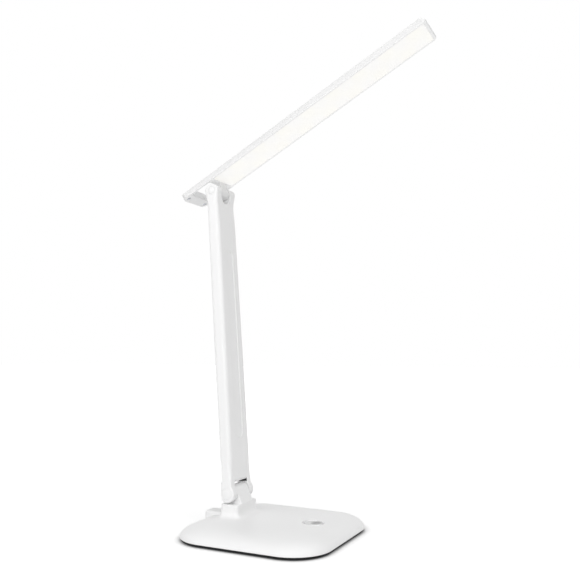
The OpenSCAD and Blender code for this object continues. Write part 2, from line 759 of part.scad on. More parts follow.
module lower_bolt() color(STEEL) in_arm()
    hinge_bolt(low_bolt_r, low_seat_r, low_seat_d, arm_half(0));
module lower_nut() color(STEEL) in_arm()
    hinge_nut(low_bolt_r, low_seat_r, low_seat_d, arm_half(0));
module lower_spring_washer() color(STEEL) in_arm()
    spring_washer(low_bolt_r, low_seat_r, low_seat_d, arm_half(0));
module lower_friction_washers() color(STEEL) in_arm()
    friction_washers(low_bolt_r, knuckle_r - 1, low_slot_w);
module lower_caps() color(WHITE) in_arm()
    hinge_caps(low_seat_r, low_seat_d, arm_half(0));

module at_top() { in_arm() translate([0, 0, arm_l]) children(); }
module upper_bolt() color(STEEL) at_top()
    hinge_bolt(top_bolt_r, top_seat_r, top_seat_d, arm_half(arm_l));
module upper_nut() color(STEEL) at_top()
    hinge_nut(top_bolt_r, top_seat_r, top_seat_d, arm_half(arm_l));
module upper_spring_washer() color(STEEL) at_top()
    spring_washer(top_bolt_r, top_seat_r, top_seat_d, arm_half(arm_l));
// these washers stay above the round bottom of the notch
module upper_friction_washers() color(STEEL) at_top()
    friction_washers(top_bolt_r, top_slot_d - top_slot_w / 2, top_slot_w);
module upper_caps() color(WHITE) at_top()
    hinge_caps(top_seat_r, top_seat_d, arm_half(arm_l));

// ---- head ----------------------------------------------------------------------------------

head_z0 = head_off;                         // underside of the head, in the head frame
head_z1 = head_off + head_t;                // crown of the head
split_z = head_z0 + frame_t;                // plane where the top shell and the lower frame meet
side_z = head_z0 + 2.2;                     // the sides stand upright up to here
board_top = head_z1 - head_wall - 1.7;      // upper face of the LED board
head_cavity_x0 = window_front + 2.4;        // start of the head's hollow
diff_rim = head_wall + fit + diff_ledge;    // rim beside the diffuser
diff_end_gap = diff_rim + lip_t + fit;      // rim ahead of it, at the tip
diff_set_in = 0.15;                         // the diffuser lies this far inside the frame's underside
led_x0 = diff_start + 4;
led_x1 = head_front - diff_end_gap - 4;
rib_count = 6;                              // ribs that carry the LED board
rib_t = 1.2;
rib_inset = 3;
rib_pitch = (led_x1 - led_x0 - 2 * rib_inset - rib_t) / (rib_count - 1);

// Cross-section of the head, looking along it: upright sides and a cambered top that follow
// |y/half|^4 + |rise/height|^2.2 = 1
module head_section(wall) {
    half = head_w / 2 - wall;
    rise = head_z1 - side_z - wall;
    polygon([[half, head_z0 - 1], for (a = [0 : 10 : 180]) [
        half * sign(cos(a)) * pow(abs(cos(a)), 2 / 4),
        side_z + rise * pow(sin(a), 2 / 2.2)], [-half, head_z0 - 1]]);
}

// Plan of the head between two stations, with different corner radii at its ends
module head_plan(wall) {
    half = head_w / 2 - wall;
    tr = tip_r - wall / 2;
    rr = rear_r - wall / 2;
    translate([-head_rear + wall + rr, -half])
        square([head_front + head_rear - 2 * wall - tr - rr, 2 * half]);
    translate([head_front - wall - tr - 1, -half + tr]) square([tr + 1, 2 * (half - tr)]);
    translate([-head_rear + wall, -half + rr]) square([rr + 1, 2 * (half - rr)]);
    for (s = [-1, 1]) {
        translate([head_front - wall - tr, s * (half - tr)]) circle(tr);
        translate([-head_rear + wall + rr, s * (half - rr)]) circle(rr);
    }
}

// Side view of the head: a bar whose tip is rounded below and above
module head_side(wall) {
    x1 = head_front - wall;
    z0 = head_z0 - (wall > 0 ? 1 : 0);
    z1 = head_z1 - wall;
    lr = wall > 0 ? 0.5 : tip_low_r;
    ur = tip_top_r - wall;
    translate([-head_rear - 1, z0]) square([x1 + head_rear + 1 - ur, z1 - z0]);
    translate([x1 - ur - 1, z0 + lr]) square([ur + 1, z1 - z0 - lr - ur]);
    translate([x1 - lr, z0 + lr]) circle(lr);
    translate([x1 - ur - 1, z0]) square([ur + 1 - lr, z1 - z0 - ur]);
    translate([x1 - ur, z1 - ur]) circle(ur);
}

module head_form(wall) {
    intersection() {
        translate([-head_rear - 1, 0, 0]) rotate([90, 0, 90])
            linear_extrude(head_front + head_rear + 2) head_section(wall);
        translate([0, 0, head_z0 - 2]) linear_extrude(head_t + 4) head_plan(wall);
        along_y(-head_w, head_w) head_side(wall);
    }
}

// A block of the head frame's space between two stations and two heights
module span(x0, x1, z0, z1) {
    translate([x0, -head_w, z0]) cube([x1 - x0, 2 * head_w, z1 - z0]);
}

window_x0 = -head_rear + rear_bar;
module window_cut() {
    l = window_front - window_x0;
    translate([(window_front + window_x0) / 2, 0, head_z0 - 2]) linear_extrude(head_t + 4)
        round_rect(l, head_w - 2 * rail_w, window_r);
}

head_screw_x = -head_rear + rear_bar / 2;
head_screw_y = head_w / 2 - 5;
screw_pocket = 1.1;                         // depth of the seat of a head screw
head_screw_r = 2.1;
head_screw_t = 0.8;
head_screw_l = 4;

module head_top_shell() color(WHITE) in_head() difference() {
    intersection() {
        head_form(0);
        span(-head_rear - 1, head_front + 1, split_z, head_z1 + 1);
    }
    difference() {
        intersection() {
            head_form(head_wall);
            span(head_cavity_x0, head_front, split_z - 1, head_z1);
        }
        // ribs that carry the LED board
        for (i = [0 : rib_count - 1])
            translate([led_x0 + rib_inset + i * rib_pitch, -led_board_w / 2, board_top])
                cube([rib_t, led_board_w, head_t]);
    }
    window_cut();
    for (s = [-1, 1]) translate([head_screw_x, s * head_screw_y, split_z - 1])
        cylinder(r = small_r, h = head_screw_l + 1, $fn = 32);
}

tongue_half = top_slot_w / 2 - washer_t - side_fit;
web_half = 5;
// The knuckle and the web that carries it, in the XZ plane of the head frame
web_x1 = diff_start - fit;                  // front of the web, short of the diffuser's opening
web_lip = 0.6;                              // height of that front below the frame
module tongue_profile() {
    top = head_z0 + web_lip / 2;
    polygon([[0, tongue_r], [window_front, top], [web_x1, top], [web_x1, head_z0 - web_lip],
        [tongue_r * cos(-20), tongue_r * sin(-20)], [0, 0]]);
}

module head_frame() color(WHITE) in_head() difference() {
    union() {
        difference() {
            intersection() {
                head_form(0);
                span(-head_rear - 1, head_front + 1, head_z0 - 1, split_z);
            }
            // opening for the diffuser
            diff_opening(0, head_z0 - 1, split_z + 1);
        }
        // lips at both ends that locate the frame inside the top shell
        for (x = [head_cavity_x0 + fit, head_front - head_wall - fit - lip_t])
            span_box(x, x + lip_t, head_w / 4, split_z - 0.4, split_z + 2 * lip_t);
        rod_y(tongue_r, -tongue_half, tongue_half);
        along_y(-web_half, web_half) tongue_profile();
    }
    window_cut();
    rod_y(top_bolt_r + run_fit, -head_w, head_w);
    for (s = [-1, 1]) translate([head_screw_x, s * head_screw_y, head_z0 - 1]) {
        cylinder(r = small_r + fit, h = head_screw_l + 2, $fn = 32);
        cylinder(r = head_screw_r + fit, h = 1 + screw_pocket, $fn = 40);
    }
}

module span_box(x0, x1, half, z0, z1) {
    translate([x0, -half, z0]) cube([x1 - x0, 2 * half, z1 - z0]);
}

// The diffuser's outline, less a gap all round, between two heights
module diff_opening(gap, z0, z1) {
    l = head_front - diff_end_gap - diff_start - 2 * gap;
    w = head_w - 2 * diff_rim - 2 * gap;
    translate([diff_start + gap + l / 2, 0, z0]) linear_extrude(z1 - z0) round_rect(l, w, 2);
}

module head_screws() color(STEEL) in_head()
    for (s = [-1, 1]) translate([head_screw_x, s * head_screw_y, head_z0 + screw_pocket]) difference() {
        union() {
            cylinder(r = small_r, h = head_screw_l, $fn = 32);
            translate([0, 0, -head_screw_t]) cylinder(r = head_screw_r, h = head_screw_t, $fn = 40);
        }
        translate([0, 0, -head_screw_t]) cross_recess(0.65 * head_screw_r, 0.5);
    }

// Milky plate in the frame's opening, with a thin flange that lies on the frame's ledge
module diffuser() color([1, 0.98, 0.92]) in_head() difference() {
    plate_z = head_z0 + diff_set_in;
    edge = 2;
    union() {
        diff_opening(fit, plate_z, split_z + eps);
        diff_opening(-diff_ledge, split_z, split_z + flange_t);
    }
    // shallow hollow on the inner side
    diff_opening(fit + edge, plate_z + diff_t, split_z + 2 * flange_t);
}

module led_board() color([0.9, 0.9, 0.88]) in_head()
    span_box(led_x0, led_x1, led_board_w / 2, board_top - led_board_t, board_top);

// Chips in two rows; the parity of the station picks the warm or the cool ones
module chips(parity) {
    pitch = (led_x1 - led_x0) / led_count;
    for (i = [0 : led_count - 1], s = [-1, 1])
        if ((i + (s > 0 ? 1 : 0)) % 2 == parity)
            translate([led_x0 + (i + 0.5) * pitch - chip_l / 2, s * led_board_w / 4 - chip_w / 2,
                board_top - led_board_t - chip_t])
                cube([chip_l, chip_w, chip_t]);
}
module led_chips_warm() color([1, 0.85, 0.45]) in_head() chips(0);
module led_chips_cool() color([0.9, 0.95, 1]) in_head() chips(1);

// Lead from the hinge to the LED board's pads, under the edge of the board
head_lead_r = 0.8;
head_lead_l = 14;
module head_lead() color(BLACK) in_head()
    translate([head_cavity_x0 + 2 * fit, -led_board_w / 2 + 2, board_top - led_board_t - head_lead_r])
        rotate([0, 90, 0]) cylinder(r = head_lead_r, h = head_lead_l, $fn = 20);

base_shell();
base_plate();
base_mat();
base_screws();
base_weight();
battery_cell();
control_board();
board_screws();
touch_spring();
touch_key();
touch_ring();
power_inlet();
base_lead();
arm_front_shell();
arm_back_shell();
lower_back_cover();
arm_screws();
arm_lead();
lower_bolt();
lower_nut();
lower_spring_washer();
lower_friction_washers();
lower_caps();
upper_bolt();
upper_nut();
upper_spring_washer();
upper_friction_washers();
upper_caps();
head_top_shell();
head_frame();
head_screws();
diffuser();
led_board();
led_chips_warm();
led_chips_cool();
head_lead();
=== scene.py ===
"""Folding LED desk lamp: smooth moulded shells, finishes, floor, light and camera round the fixed frame.

Shapes are worked out in millimetres with numpy and turned into metres when a piece is built.
The arm's frame starts on the lower hinge axis with Z along the arm; the head's frame starts on the
upper hinge axis with X along the head and Z out of its top.
"""
import json
import math

import bmesh
import bpy
import numpy as np
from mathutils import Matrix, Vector
from mathutils.geometry import delaunay_2d_cdt


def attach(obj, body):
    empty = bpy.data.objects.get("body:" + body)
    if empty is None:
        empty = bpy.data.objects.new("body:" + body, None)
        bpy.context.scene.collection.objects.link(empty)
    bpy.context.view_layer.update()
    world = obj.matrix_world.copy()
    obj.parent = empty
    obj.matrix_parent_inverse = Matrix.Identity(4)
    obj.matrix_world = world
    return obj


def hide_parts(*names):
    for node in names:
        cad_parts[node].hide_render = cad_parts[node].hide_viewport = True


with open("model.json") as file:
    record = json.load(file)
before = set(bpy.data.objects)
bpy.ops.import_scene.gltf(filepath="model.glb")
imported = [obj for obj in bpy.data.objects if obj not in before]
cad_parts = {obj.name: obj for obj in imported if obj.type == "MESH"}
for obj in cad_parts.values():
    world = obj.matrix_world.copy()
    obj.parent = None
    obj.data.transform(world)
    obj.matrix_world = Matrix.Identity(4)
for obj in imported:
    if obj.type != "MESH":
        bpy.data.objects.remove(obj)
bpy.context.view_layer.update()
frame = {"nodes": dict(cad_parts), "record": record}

# ---- sizes, in millimetres and degrees -------------------------------------------------------

BASE_L, BASE_W, BASE_R = 140.0, 138.0, 34.0       # plan of the base and its corner radius
SHELL_Z, CROWN_Z = 2.6, 14.0                      # foot and crown of the dome
DOME_POWER = 5.5                                  # how squarely the dome's sides stand up
DOME_BAND, CEILING_BAND = 14.0, 18.0              # where the dome turns over, outside and inside
FOOT_ANGLE = 0.03                                 # where the dome's curve ends at its foot, in radians
SPLIT_X, WALL = 6.0, 2.0                          # line where the dome's two patches meet; wall
SOFT = 0.3                                        # softened edges of shell, plate, mat and panel
PLATE_IN, MAT_IN, MAT_Z, MAT_LET_IN = 1.0, 4.0, 0.8, 0.4  # insets; the mat below the plate and in it
SCREW_IN, SCREW_SEAT_R, SCREW_SEAT_Z, MAT_HOLE_R = 19.0, 2.95, 1.8, 3.8  # screws and their holes
FIT = 0.15                                        # gap between pieces

AXIS_X, AXIS_Z = -39.5, 34.0                      # lower hinge axis
NECK_FRONT, NECK_BACK, NECK_R = 11.5, 6.2, 3.0    # neck ahead of and behind the axis; corners
FLARE, FLARE_SIDE, FLARE_H, FLARE_POWER = 9.0, 7.5, 6.5, 1.5  # spread of the neck's foot
KNUCKLE_R, KNUCKLE_HALF, KNUCKLE_RIM = 6.8, 10.45, 0.7  # knuckle: radius, half width, edge
KNUCKLE_SUNK, KNUCKLE_BEND, KNUCKLE_IN, KNUCKLE_BACK = 1.4, 0.55, 0.6, 3.0  # its foot inside the neck
EAR_R, HEEL_R = 7.8, 2.4                          # lower ears: round about the axis, and rear corner
SHOULDER_Z = AXIS_Z - EAR_R - 1.0
BROW_IN, BROW_H = 0.2, 0.7                        # rounding of the shoulder

HUMP_REAR, HUMP_FRONT, HUMP_W, HUMP_TOP, HUMP_LOW = -69.4, -42.0, 15.0, 15.2, 3.2  # inlet's hump
HUMP_SIDE_R, HUMP_TOP_R = 2.4, 2.2                # its upright edges and its top edges
INLET_Z, MOUTH_HALF, MOUTH_R, MOUTH_LIP, MOUTH_END = 10.6, 4.9, 2.1, 0.12, -62.0  # its mouth
DIP, DIP_X, DIP_HALF = 3.0, -57.0, 7.3            # how the dome sinks inside the hump,
DIP_REACH, DIP_SIDE, DIP_RISE = 3.0, 1.6, 4.0     # and the lengths over which it does

KEY_X, KEY_R, RING_W, KEY_SEAT, SEAT_LIP = 38.0, 8.0, 1.4, 1.6, 0.2  # key, ring and their seat
KEY_TOP = 13.72                                   # top of the trim ring
DISH_R, DISH, KEY_RIM, KEY_LOW = KEY_R - 0.8, 0.5, 0.25, 0.1  # dish of the key; key below the ring

ARM_L, ARM_W_LOW, ARM_W_TOP, ARM_T = 280.8, 36.4, 32.4, 11.0  # axis to axis; widths at the axes
ARM_LEAN = 4.2                                    # of the arm at rest
ARM_R, BACK_RIM, EAR_RIM, COVER_RIM = 3.6, 2.2, 1.2, 0.9  # roundings of long edges
RIM_LOW, RIM_LOW_FADE, RIM_TOP, RIM_TOP_FADE, SEAT_GAP = 5.0, 16.0, 2.0, 12.0, 0.22  # how they ease
SWELL_FRONT, FRONT_CROWN = 1.0, 0.3               # the arm's soft form, past its straight one
SWELL_END, SWELL_FADE, SWELL_DEEP = 8.0, 30.0, 4.0  # how it fades along the arm and behind
SWELL_TOP, TOP_START, TOP_FADE = 0.9, 12.0, 8.0   # and that of the upper ears, which grows
TOP_CORE, TOP_BLEND = 4.0, 1.2                    # from this far off the middle, over that length
FRONT_X, BACK_X = ARM_T / 2, -ARM_T / 2           # front and back of the arm
SEAM_X, SEAM_R, COVER_STEP = BACK_X + 2.5, 0.25, 1.2  # where the arm's shells meet
OPEN_LOW, BACK_START, OPEN_TOP = 10.4, 28.0, 268.0  # opening of the front shell; start of the back
PANEL_W, PANEL_D, PANEL_LOW, PANEL_TOP, PANEL_LIP = 13.0, 0.6, 48.0, 223.8, 0.25  # panel in the front
ARM_SCREWS, SINK_R, SINK_LOW_R, SINK = (60.0, 150.4, 240.8), 2.1, 1.15, 1.1  # and countersinks
SLOT_HALF, SLOT_H, SLOT_EDGE = 11.0, 9.2, 3.0     # slot between the lower ears
ROOF_Z = SLOT_H + SLOT_EDGE
SHADE_SHEET_LOW, SHADE_SHEET_T, SHADE_SHEET_IN, SHADE_SHEET_SHORT, SHADE_SHEET_ROOF = 7.2, 0.25, 0.05, 0.5, -38  # slot's dark sheets, painted shade
NOTCH_R, NOTCH_D, TOP_EAR_R = 8.0, 11.4, 6.2      # notch between the upper ears
TURN_Z = ARM_L - NOTCH_D + NOTCH_R                # where the notch's round bottom starts
EDGE = 0.4                                        # softened edge of a slot
FOOT_FILLET, TOP_FILLET = 4.0, 2.0                # from the ears to the arm's front

HEAD_UP, HEAD_FRONT, HEAD_REAR, HEAD_W = 27.9, 242.0, 31.0, 37.5  # rise; reach from the axis; width
HEAD_Z0, HEAD_T, HEAD_WALL = 7.8, 9.0, 1.4        # underside above the axis; thickness; wall
HEAD_Z1 = HEAD_Z0 + HEAD_T
SPLIT_Z, SIDE_Z = HEAD_Z0 + 1.8, HEAD_Z0 + 2.2    # seam of top and frame; top of the side walls
CAMBER_Y, CAMBER_Z = 4.0, 2.2                     # powers of the top's section
TIP_R, REAR_R, TIP_LOW_R, TIP_TOP_R = 3.0, 5.5, 1.7, 5.4  # corners in plan; tip seen from the side
TIP_START, TIP_DRAW = HEAD_FRONT - TIP_TOP_R, 0.25  # where the crown starts to fall to the tip
WINDOW = (-21.0, 2.0, 16.25, 3.0)                 # rear, front, half width and corner radius
DIFF = (7.6, 238.8, 16.6, 2.0)                    # diffuser's opening: start, end, half width, radius
DIFF_EDGE, DIFF_IN, FLANGE, FLANGE_T = 0.35, 0.15, 0.6, 0.8  # its lower edge, recess and flange
HOLLOW_START, HOLLOW_END, TIP_BEND = 2.4, 5.0, 6.0  # hollow from window and tip; bend of the tip
HEAD_SCREW_X, HEAD_SCREW_Y, HEAD_SEAT_R, HEAD_SEAT = -26.0, 13.75, 2.25, 1.1  # rear bar's screws
TONGUE_R, TONGUE_HALF, WEB_HALF, TONGUE_RIM, WEB_L = 5.6, 7.45, 5.0, 0.5, 5.6  # tongue and its web
WEB_CLEAR, WEB_TOP, WEB_LOW = 0.02, 0.6, 0.3      # web past the window, in and below the frame
WEB_ANGLE, WEB_SUNK, WEB_BACK = -20.0, 0.98, 0.4  # where the web leaves the tongue

CAPS = {"lower": (4.825, 4.9, 0.9), "upper": (3.625, 3.7, 0.5)}  # cap radius, seat radius, height of drum
CAP_EDGE, CAP_BULGE = 0.15, 0.5                   # their softened edge; rise of their faces
SEAT_DEEP = (3.0, 2.6)                            # depth of the bolt seats, lower and upper
SEAT_EDGE = ((0.15, 0.0), (0.05, 0.04), (0.0, 0.15))  # their softened lip: outwards and down
LED_X0, LED_X1, LED_Y, LED_COUNT = 11.6, 234.8, 6.75, 16  # two rows of chips

WHITE = (1.0, 1.0, 1.0, 1.0)
AMBIENT = 0.385
FLOOR_GLOW = (0.25, 0.75)                         # glow near the lamp and far from it
FLOOR_FADE = (0.15, 0.6)                          # distances between which the glow grows, in metres
FLOOR_REACH = 6.0
CONTACT_REACH, CONTACT_POWER = 0.009, 0.7         # shade where the base all but meets the floor
LAMPS = [                                         # name, place, target, size in metres, watts
    ("left softbox", (-0.3, -1.6, 0.35), (0.0, 0.0, 0.2), 1.8, 15.0),
    ("right softbox", (1.3, -0.9, 0.5), (0.0, 0.0, 0.15), 1.6, 8.1),
    ("top softbox", (0.3, -0.3, 1.6), (0.0, 0.0, 0.1), 2.4, 13.4),
]
CAMERA_AT, CAMERA_PITCH, CAMERA_TURN = (0.2935, -0.5597, 0.16235), 95.03, 26.42
LENS, SENSOR = 42.87, 36.0

MM = 0.001
MIRROR = np.array([1.0, -1.0, 1.0])


def turned(p, tilt, origin):
    """Points turned about the Y axis, X towards Z by tilt degrees, and then moved by origin."""
    a = math.radians(tilt)
    x, z = p[..., 0], p[..., 2]
    out = np.stack([x * math.cos(a) - z * math.sin(a), p[..., 1], x * math.sin(a) + z * math.cos(a)], -1)
    return out + origin


LOWER_AXIS = np.array([AXIS_X, 0.0, AXIS_Z])
UPPER_AXIS = turned(np.array([0.0, 0.0, ARM_L]), ARM_LEAN, LOWER_AXIS)
BODY_FRAMES = {"base": (0.0, np.zeros(3)), "arm": (ARM_LEAN, LOWER_AXIS), "head": (HEAD_UP, UPPER_AXIS)}


def arm_half(z):
    """Half the arm's width: it falls evenly from the lower to the upper axis, and stays past them."""
    return (ARM_W_LOW + (ARM_W_TOP - ARM_W_LOW) * np.clip(z, 0, ARM_L) / ARM_L) / 2


# ---- surfaces --------------------------------------------------------------------------------

def xyz(x, y, z):
    """Points from three arrays or numbers that spread over each other."""
    return np.stack(np.broadcast_arrays(x, y, z), -1).astype(float)


def ramp(t):
    """Smooth step: 3t^2 - 2t^3 between 0 and 1."""
    t = np.clip(t, 0, 1)
    return t * t * (3 - 2 * t)


def quarter(n):
    """Angles of a quarter turn in n steps, in radians."""
    return np.linspace(0, math.pi / 2, n + 1)


def softened(r, n):
    """n steps round a quarter-circle edge of radius r, as pairs (r * (1 - sin v), r * (1 - cos v)): the
    first falls from r to 0 while the second grows from 0 to r."""
    return [(r * (1 - math.sin(v)), r * (1 - math.cos(v))) for v in quarter(n)]


def polar(n, r, x=0.0, y=0.0):
    """Points of a whole circle in n steps: (x + r cos a, y + r sin a)."""
    a = np.linspace(0, 2 * math.pi, n, endpoint=False)
    return np.stack([x + r * np.cos(a), y + r * np.sin(a)], -1)


def arc(cx, cz, r, first, last, steps):
    """Points and inward normals of an arc of angles in degrees, X towards Z."""
    a = np.radians(np.linspace(first, last, steps + 1))
    n = -np.stack([np.cos(a), np.sin(a)], -1)
    return np.array([cx, cz]) - r * n, n


def at_z(plan, z):
    """A plan outline lifted to height z."""
    return xyz(plan[:, 0], plan[:, 1], z)


def dropped(p):
    """Points of the head set on the seam between its top and its frame."""
    return p * [1, 1, 0] + [0, 0, SPLIT_Z]


def round_rect(x0, x1, half, r, n=10):
    """Rectangle from x0 to x1 and -half to half with quarter-circle corners of n steps."""
    a = quarter(n)
    corners = [(x1 - r, half - r, 0), (x0 + r, half - r, 1), (x0 + r, r - half, 2), (x1 - r, r - half, 3)]
    return np.concatenate([np.stack([cx + r * np.cos(a + k * math.pi / 2),
                                     cy + r * np.sin(a + k * math.pi / 2)], -1) for cx, cy, k in corners])


def spun(profile, n=72):
    """A profile of (radius, height) points turned about the Z axis: (r cos a, r sin a, h)."""
    turn = polar(n, 1.0)
    r, h = np.asarray(profile, float).T[..., None]
    return xyz(r * turn[:, 0], r * turn[:, 1], h)


def trace(*stops):
    """Centres and unit normals along a path, whose ring of radius r is centre + r * normal.  Each stop is
    (x, y, angle, steps) and leads to the next in that many even steps: the centre moves, or the normal
    turns."""
    centres, angles = [], []
    for (x0, y0, first, steps), (x1, y1, last, _) in zip(stops, stops[1:]):
        t = np.arange(steps) / steps
        centres.append(np.outer(1 - t, (x0, y0)) + np.outer(t, (x1, y1)))
        angles.append(np.radians(first + (last - first) * t))
    angles = np.concatenate(angles)
    return np.concatenate(centres), np.stack([np.cos(angles), np.sin(angles)], -1)


class Skin:
    """The surface patches of one piece.  Patches that share points along an edge are welded there."""

    def __init__(self):
        self.points, self.faces, self.count = [], [], 0

    def _add(self, p):
        start = self.count
        self.points.append(np.asarray(p, float).reshape(-1, 3))
        self.count += len(self.points[-1])
        return start

    def grid(self, p, wrap=False):
        """Quads over an array, or a list, of rows of points; wrap joins the last column to the first."""
        p = np.asarray(p)
        rows, cols = p.shape[:2]
        i = self._add(p) + np.arange(rows * cols).reshape(rows, cols)
        if wrap:
            i = np.concatenate([i, i[:, :1]], 1)
        quads = np.stack([i[:-1, :-1], i[:-1, 1:], i[1:, 1:], i[1:, :-1]], -1).reshape(-1, 4)
        self.faces += quads.tolist()
        return self

    def fill(self, outline, holes=(), flat=2):
        """A flat face inside an outline, with holes; flat is the axis that the outline doesn't run along.
        Its triangles are a constrained Delaunay net whose centres pass an even-odd test."""
        loops = [np.asarray(outline, float)] + [np.asarray(h, float) for h in holes]
        loops = [p[np.linalg.norm(p - np.roll(p, 1, 0), axis=1) > 1e-6] for p in loops]
        p = np.concatenate(loops)
        plane = np.delete(p, flat, 1)
        edges, first = [], 0
        for loop in loops:
            k = np.arange(len(loop))
            edges.append(np.stack([first + k, first + (k + 1) % len(loop)], -1))
            first += len(loop)
        edges = np.concatenate(edges)
        net = delaunay_2d_cdt(plane.tolist(), edges.tolist(), [], 0, 1e-7)
        order = np.array([o[0] for o in net[3]])
        triangles = order[np.array(net[2])]
        mid = plane[triangles].mean(1)
        a, b = plane[edges[:, 0]], plane[edges[:, 1]]
        crosses = (a[:, 1] > mid[:, 1, None]) != (b[:, 1] > mid[:, 1, None])
        slope = (b[:, 0] - a[:, 0]) / np.where(b[:, 1] == a[:, 1], 1, b[:, 1] - a[:, 1])
        left = mid[:, 0, None] < a[:, 0] + slope * (mid[:, 1, None] - a[:, 1])
        inside = (crosses & left).sum(1) % 2 == 1
        self.faces += (self._add(p) + triangles[inside]).tolist()
        return self

    def both(self, p, wrap=False):
        """The grid and its mirror image across the middle plane y = 0."""
        return self.grid(p, wrap).grid(p * MIRROR, wrap)

    def both_fill(self, outline, holes=(), flat=1):
        """The flat face and its mirror image across the middle plane y = 0."""
        return self.fill(outline, holes, flat).fill(outline * MIRROR, [h * MIRROR for h in holes], flat)

    def span(self, edge, holes=(), flat=2):
        """A flat face between an edge on the near side and its mirror image."""
        return self.fill(np.concatenate([edge, edge[::-1] * MIRROR]), holes, flat)

    def slab(self, profile, half, rim, steps=4):
        """A closed slab on the Y axis: an XZ profile that runs anticlockwise seen with X to the right and Z
        up, drawn in by rim * (1 - sin v) at y = half - rim * (1 - cos v) and at its mirror image."""
        rows = []
        for a, b in softened(rim, steps):
            x, z = inset(profile, a).T
            rows.append(xyz(x, b - half, z))
        rows += [row * MIRROR for row in rows[::-1]]
        return self.grid(rows, wrap=True).fill(rows[0], flat=1).fill(rows[-1], flat=1)

    def piece(self, name, body, slot, replaces=(), finish=None, smooth=35.0, bevel=0.0):
        """Welds the patches, points the faces outwards and gives the piece its body and finish."""
        p = turned(np.concatenate(self.points), *BODY_FRAMES[body])
        mesh = bpy.data.meshes.new(name)
        mesh.from_pydata((p * MM).tolist(), [], self.faces)
        bm = bmesh.new()
        bm.from_mesh(mesh)
        bmesh.ops.remove_doubles(bm, verts=bm.verts, dist=2e-6)
        bmesh.ops.dissolve_degenerate(bm, dist=1e-6, edges=bm.edges)
        bmesh.ops.dissolve_limit(bm, angle_limit=math.radians(0.02), verts=[], edges=bm.edges)
        bmesh.ops.recalc_face_normals(bm, faces=bm.faces)
        bm.to_mesh(mesh)
        bm.free()
        mesh.shade_smooth()
        mesh.set_sharp_from_angle(angle=math.radians(smooth))
        mesh.materials.append(finishes[finish or slot])
        piece = bpy.data.objects.new(name, mesh)
        bpy.context.scene.collection.objects.link(piece)
        if bevel:
            edges = piece.modifiers.new("softened edges", "BEVEL")
            edges.width = bevel * MM
            edges.segments = 2
            edges.limit_method = "ANGLE"
            edges.angle_limit = math.radians(40)
        even = piece.modifiers.new("even shading", "WEIGHTED_NORMAL")
        even.keep_sharp = True
        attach(piece, body)
        if replaces:
            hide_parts(*replaces)
        return piece


def inset(profile, d):
    """A closed outline drawn in by d: each point moves along the bisector of its edges' normals."""
    ahead = np.roll(profile, -1, 0) - profile
    ahead /= np.linalg.norm(ahead, axis=1)[:, None]
    n2 = np.stack([-ahead[:, 1], ahead[:, 0]], -1)
    n1 = np.roll(n2, 1, 0)
    return profile + d * (n1 + n2) / (1 + (n1 * n2).sum(1))[:, None]


# ---- finishes --------------------------------------------------------------------------------

class Shading:
    """The node tree of a material or of the world."""

    def __init__(self, owner):
        owner.use_nodes = True
        self.tree = owner.node_tree

    def node(self, kind, links=(), **settings):
        """A node with its settings; each link gives an input a value or the output of another node."""
        made = self.tree.nodes.new("ShaderNode" + kind)
        for key, value in settings.items():
            setattr(made, key, value)
        for socket, value in links:
            if isinstance(value, bpy.types.NodeSocket):
                self.tree.links.new(value, made.inputs[socket])
            else:
                made.inputs[socket].default_value = value
        return made

    def calc(self, operation, *values):
        """Result of a Math node."""
        return self.node("Math", enumerate(values), operation=operation).outputs[0]

    def vector(self, operation, *values, result=0):
        """Result of a VectorMath node."""
        return self.node("VectorMath", enumerate(values), operation=operation).outputs[result]


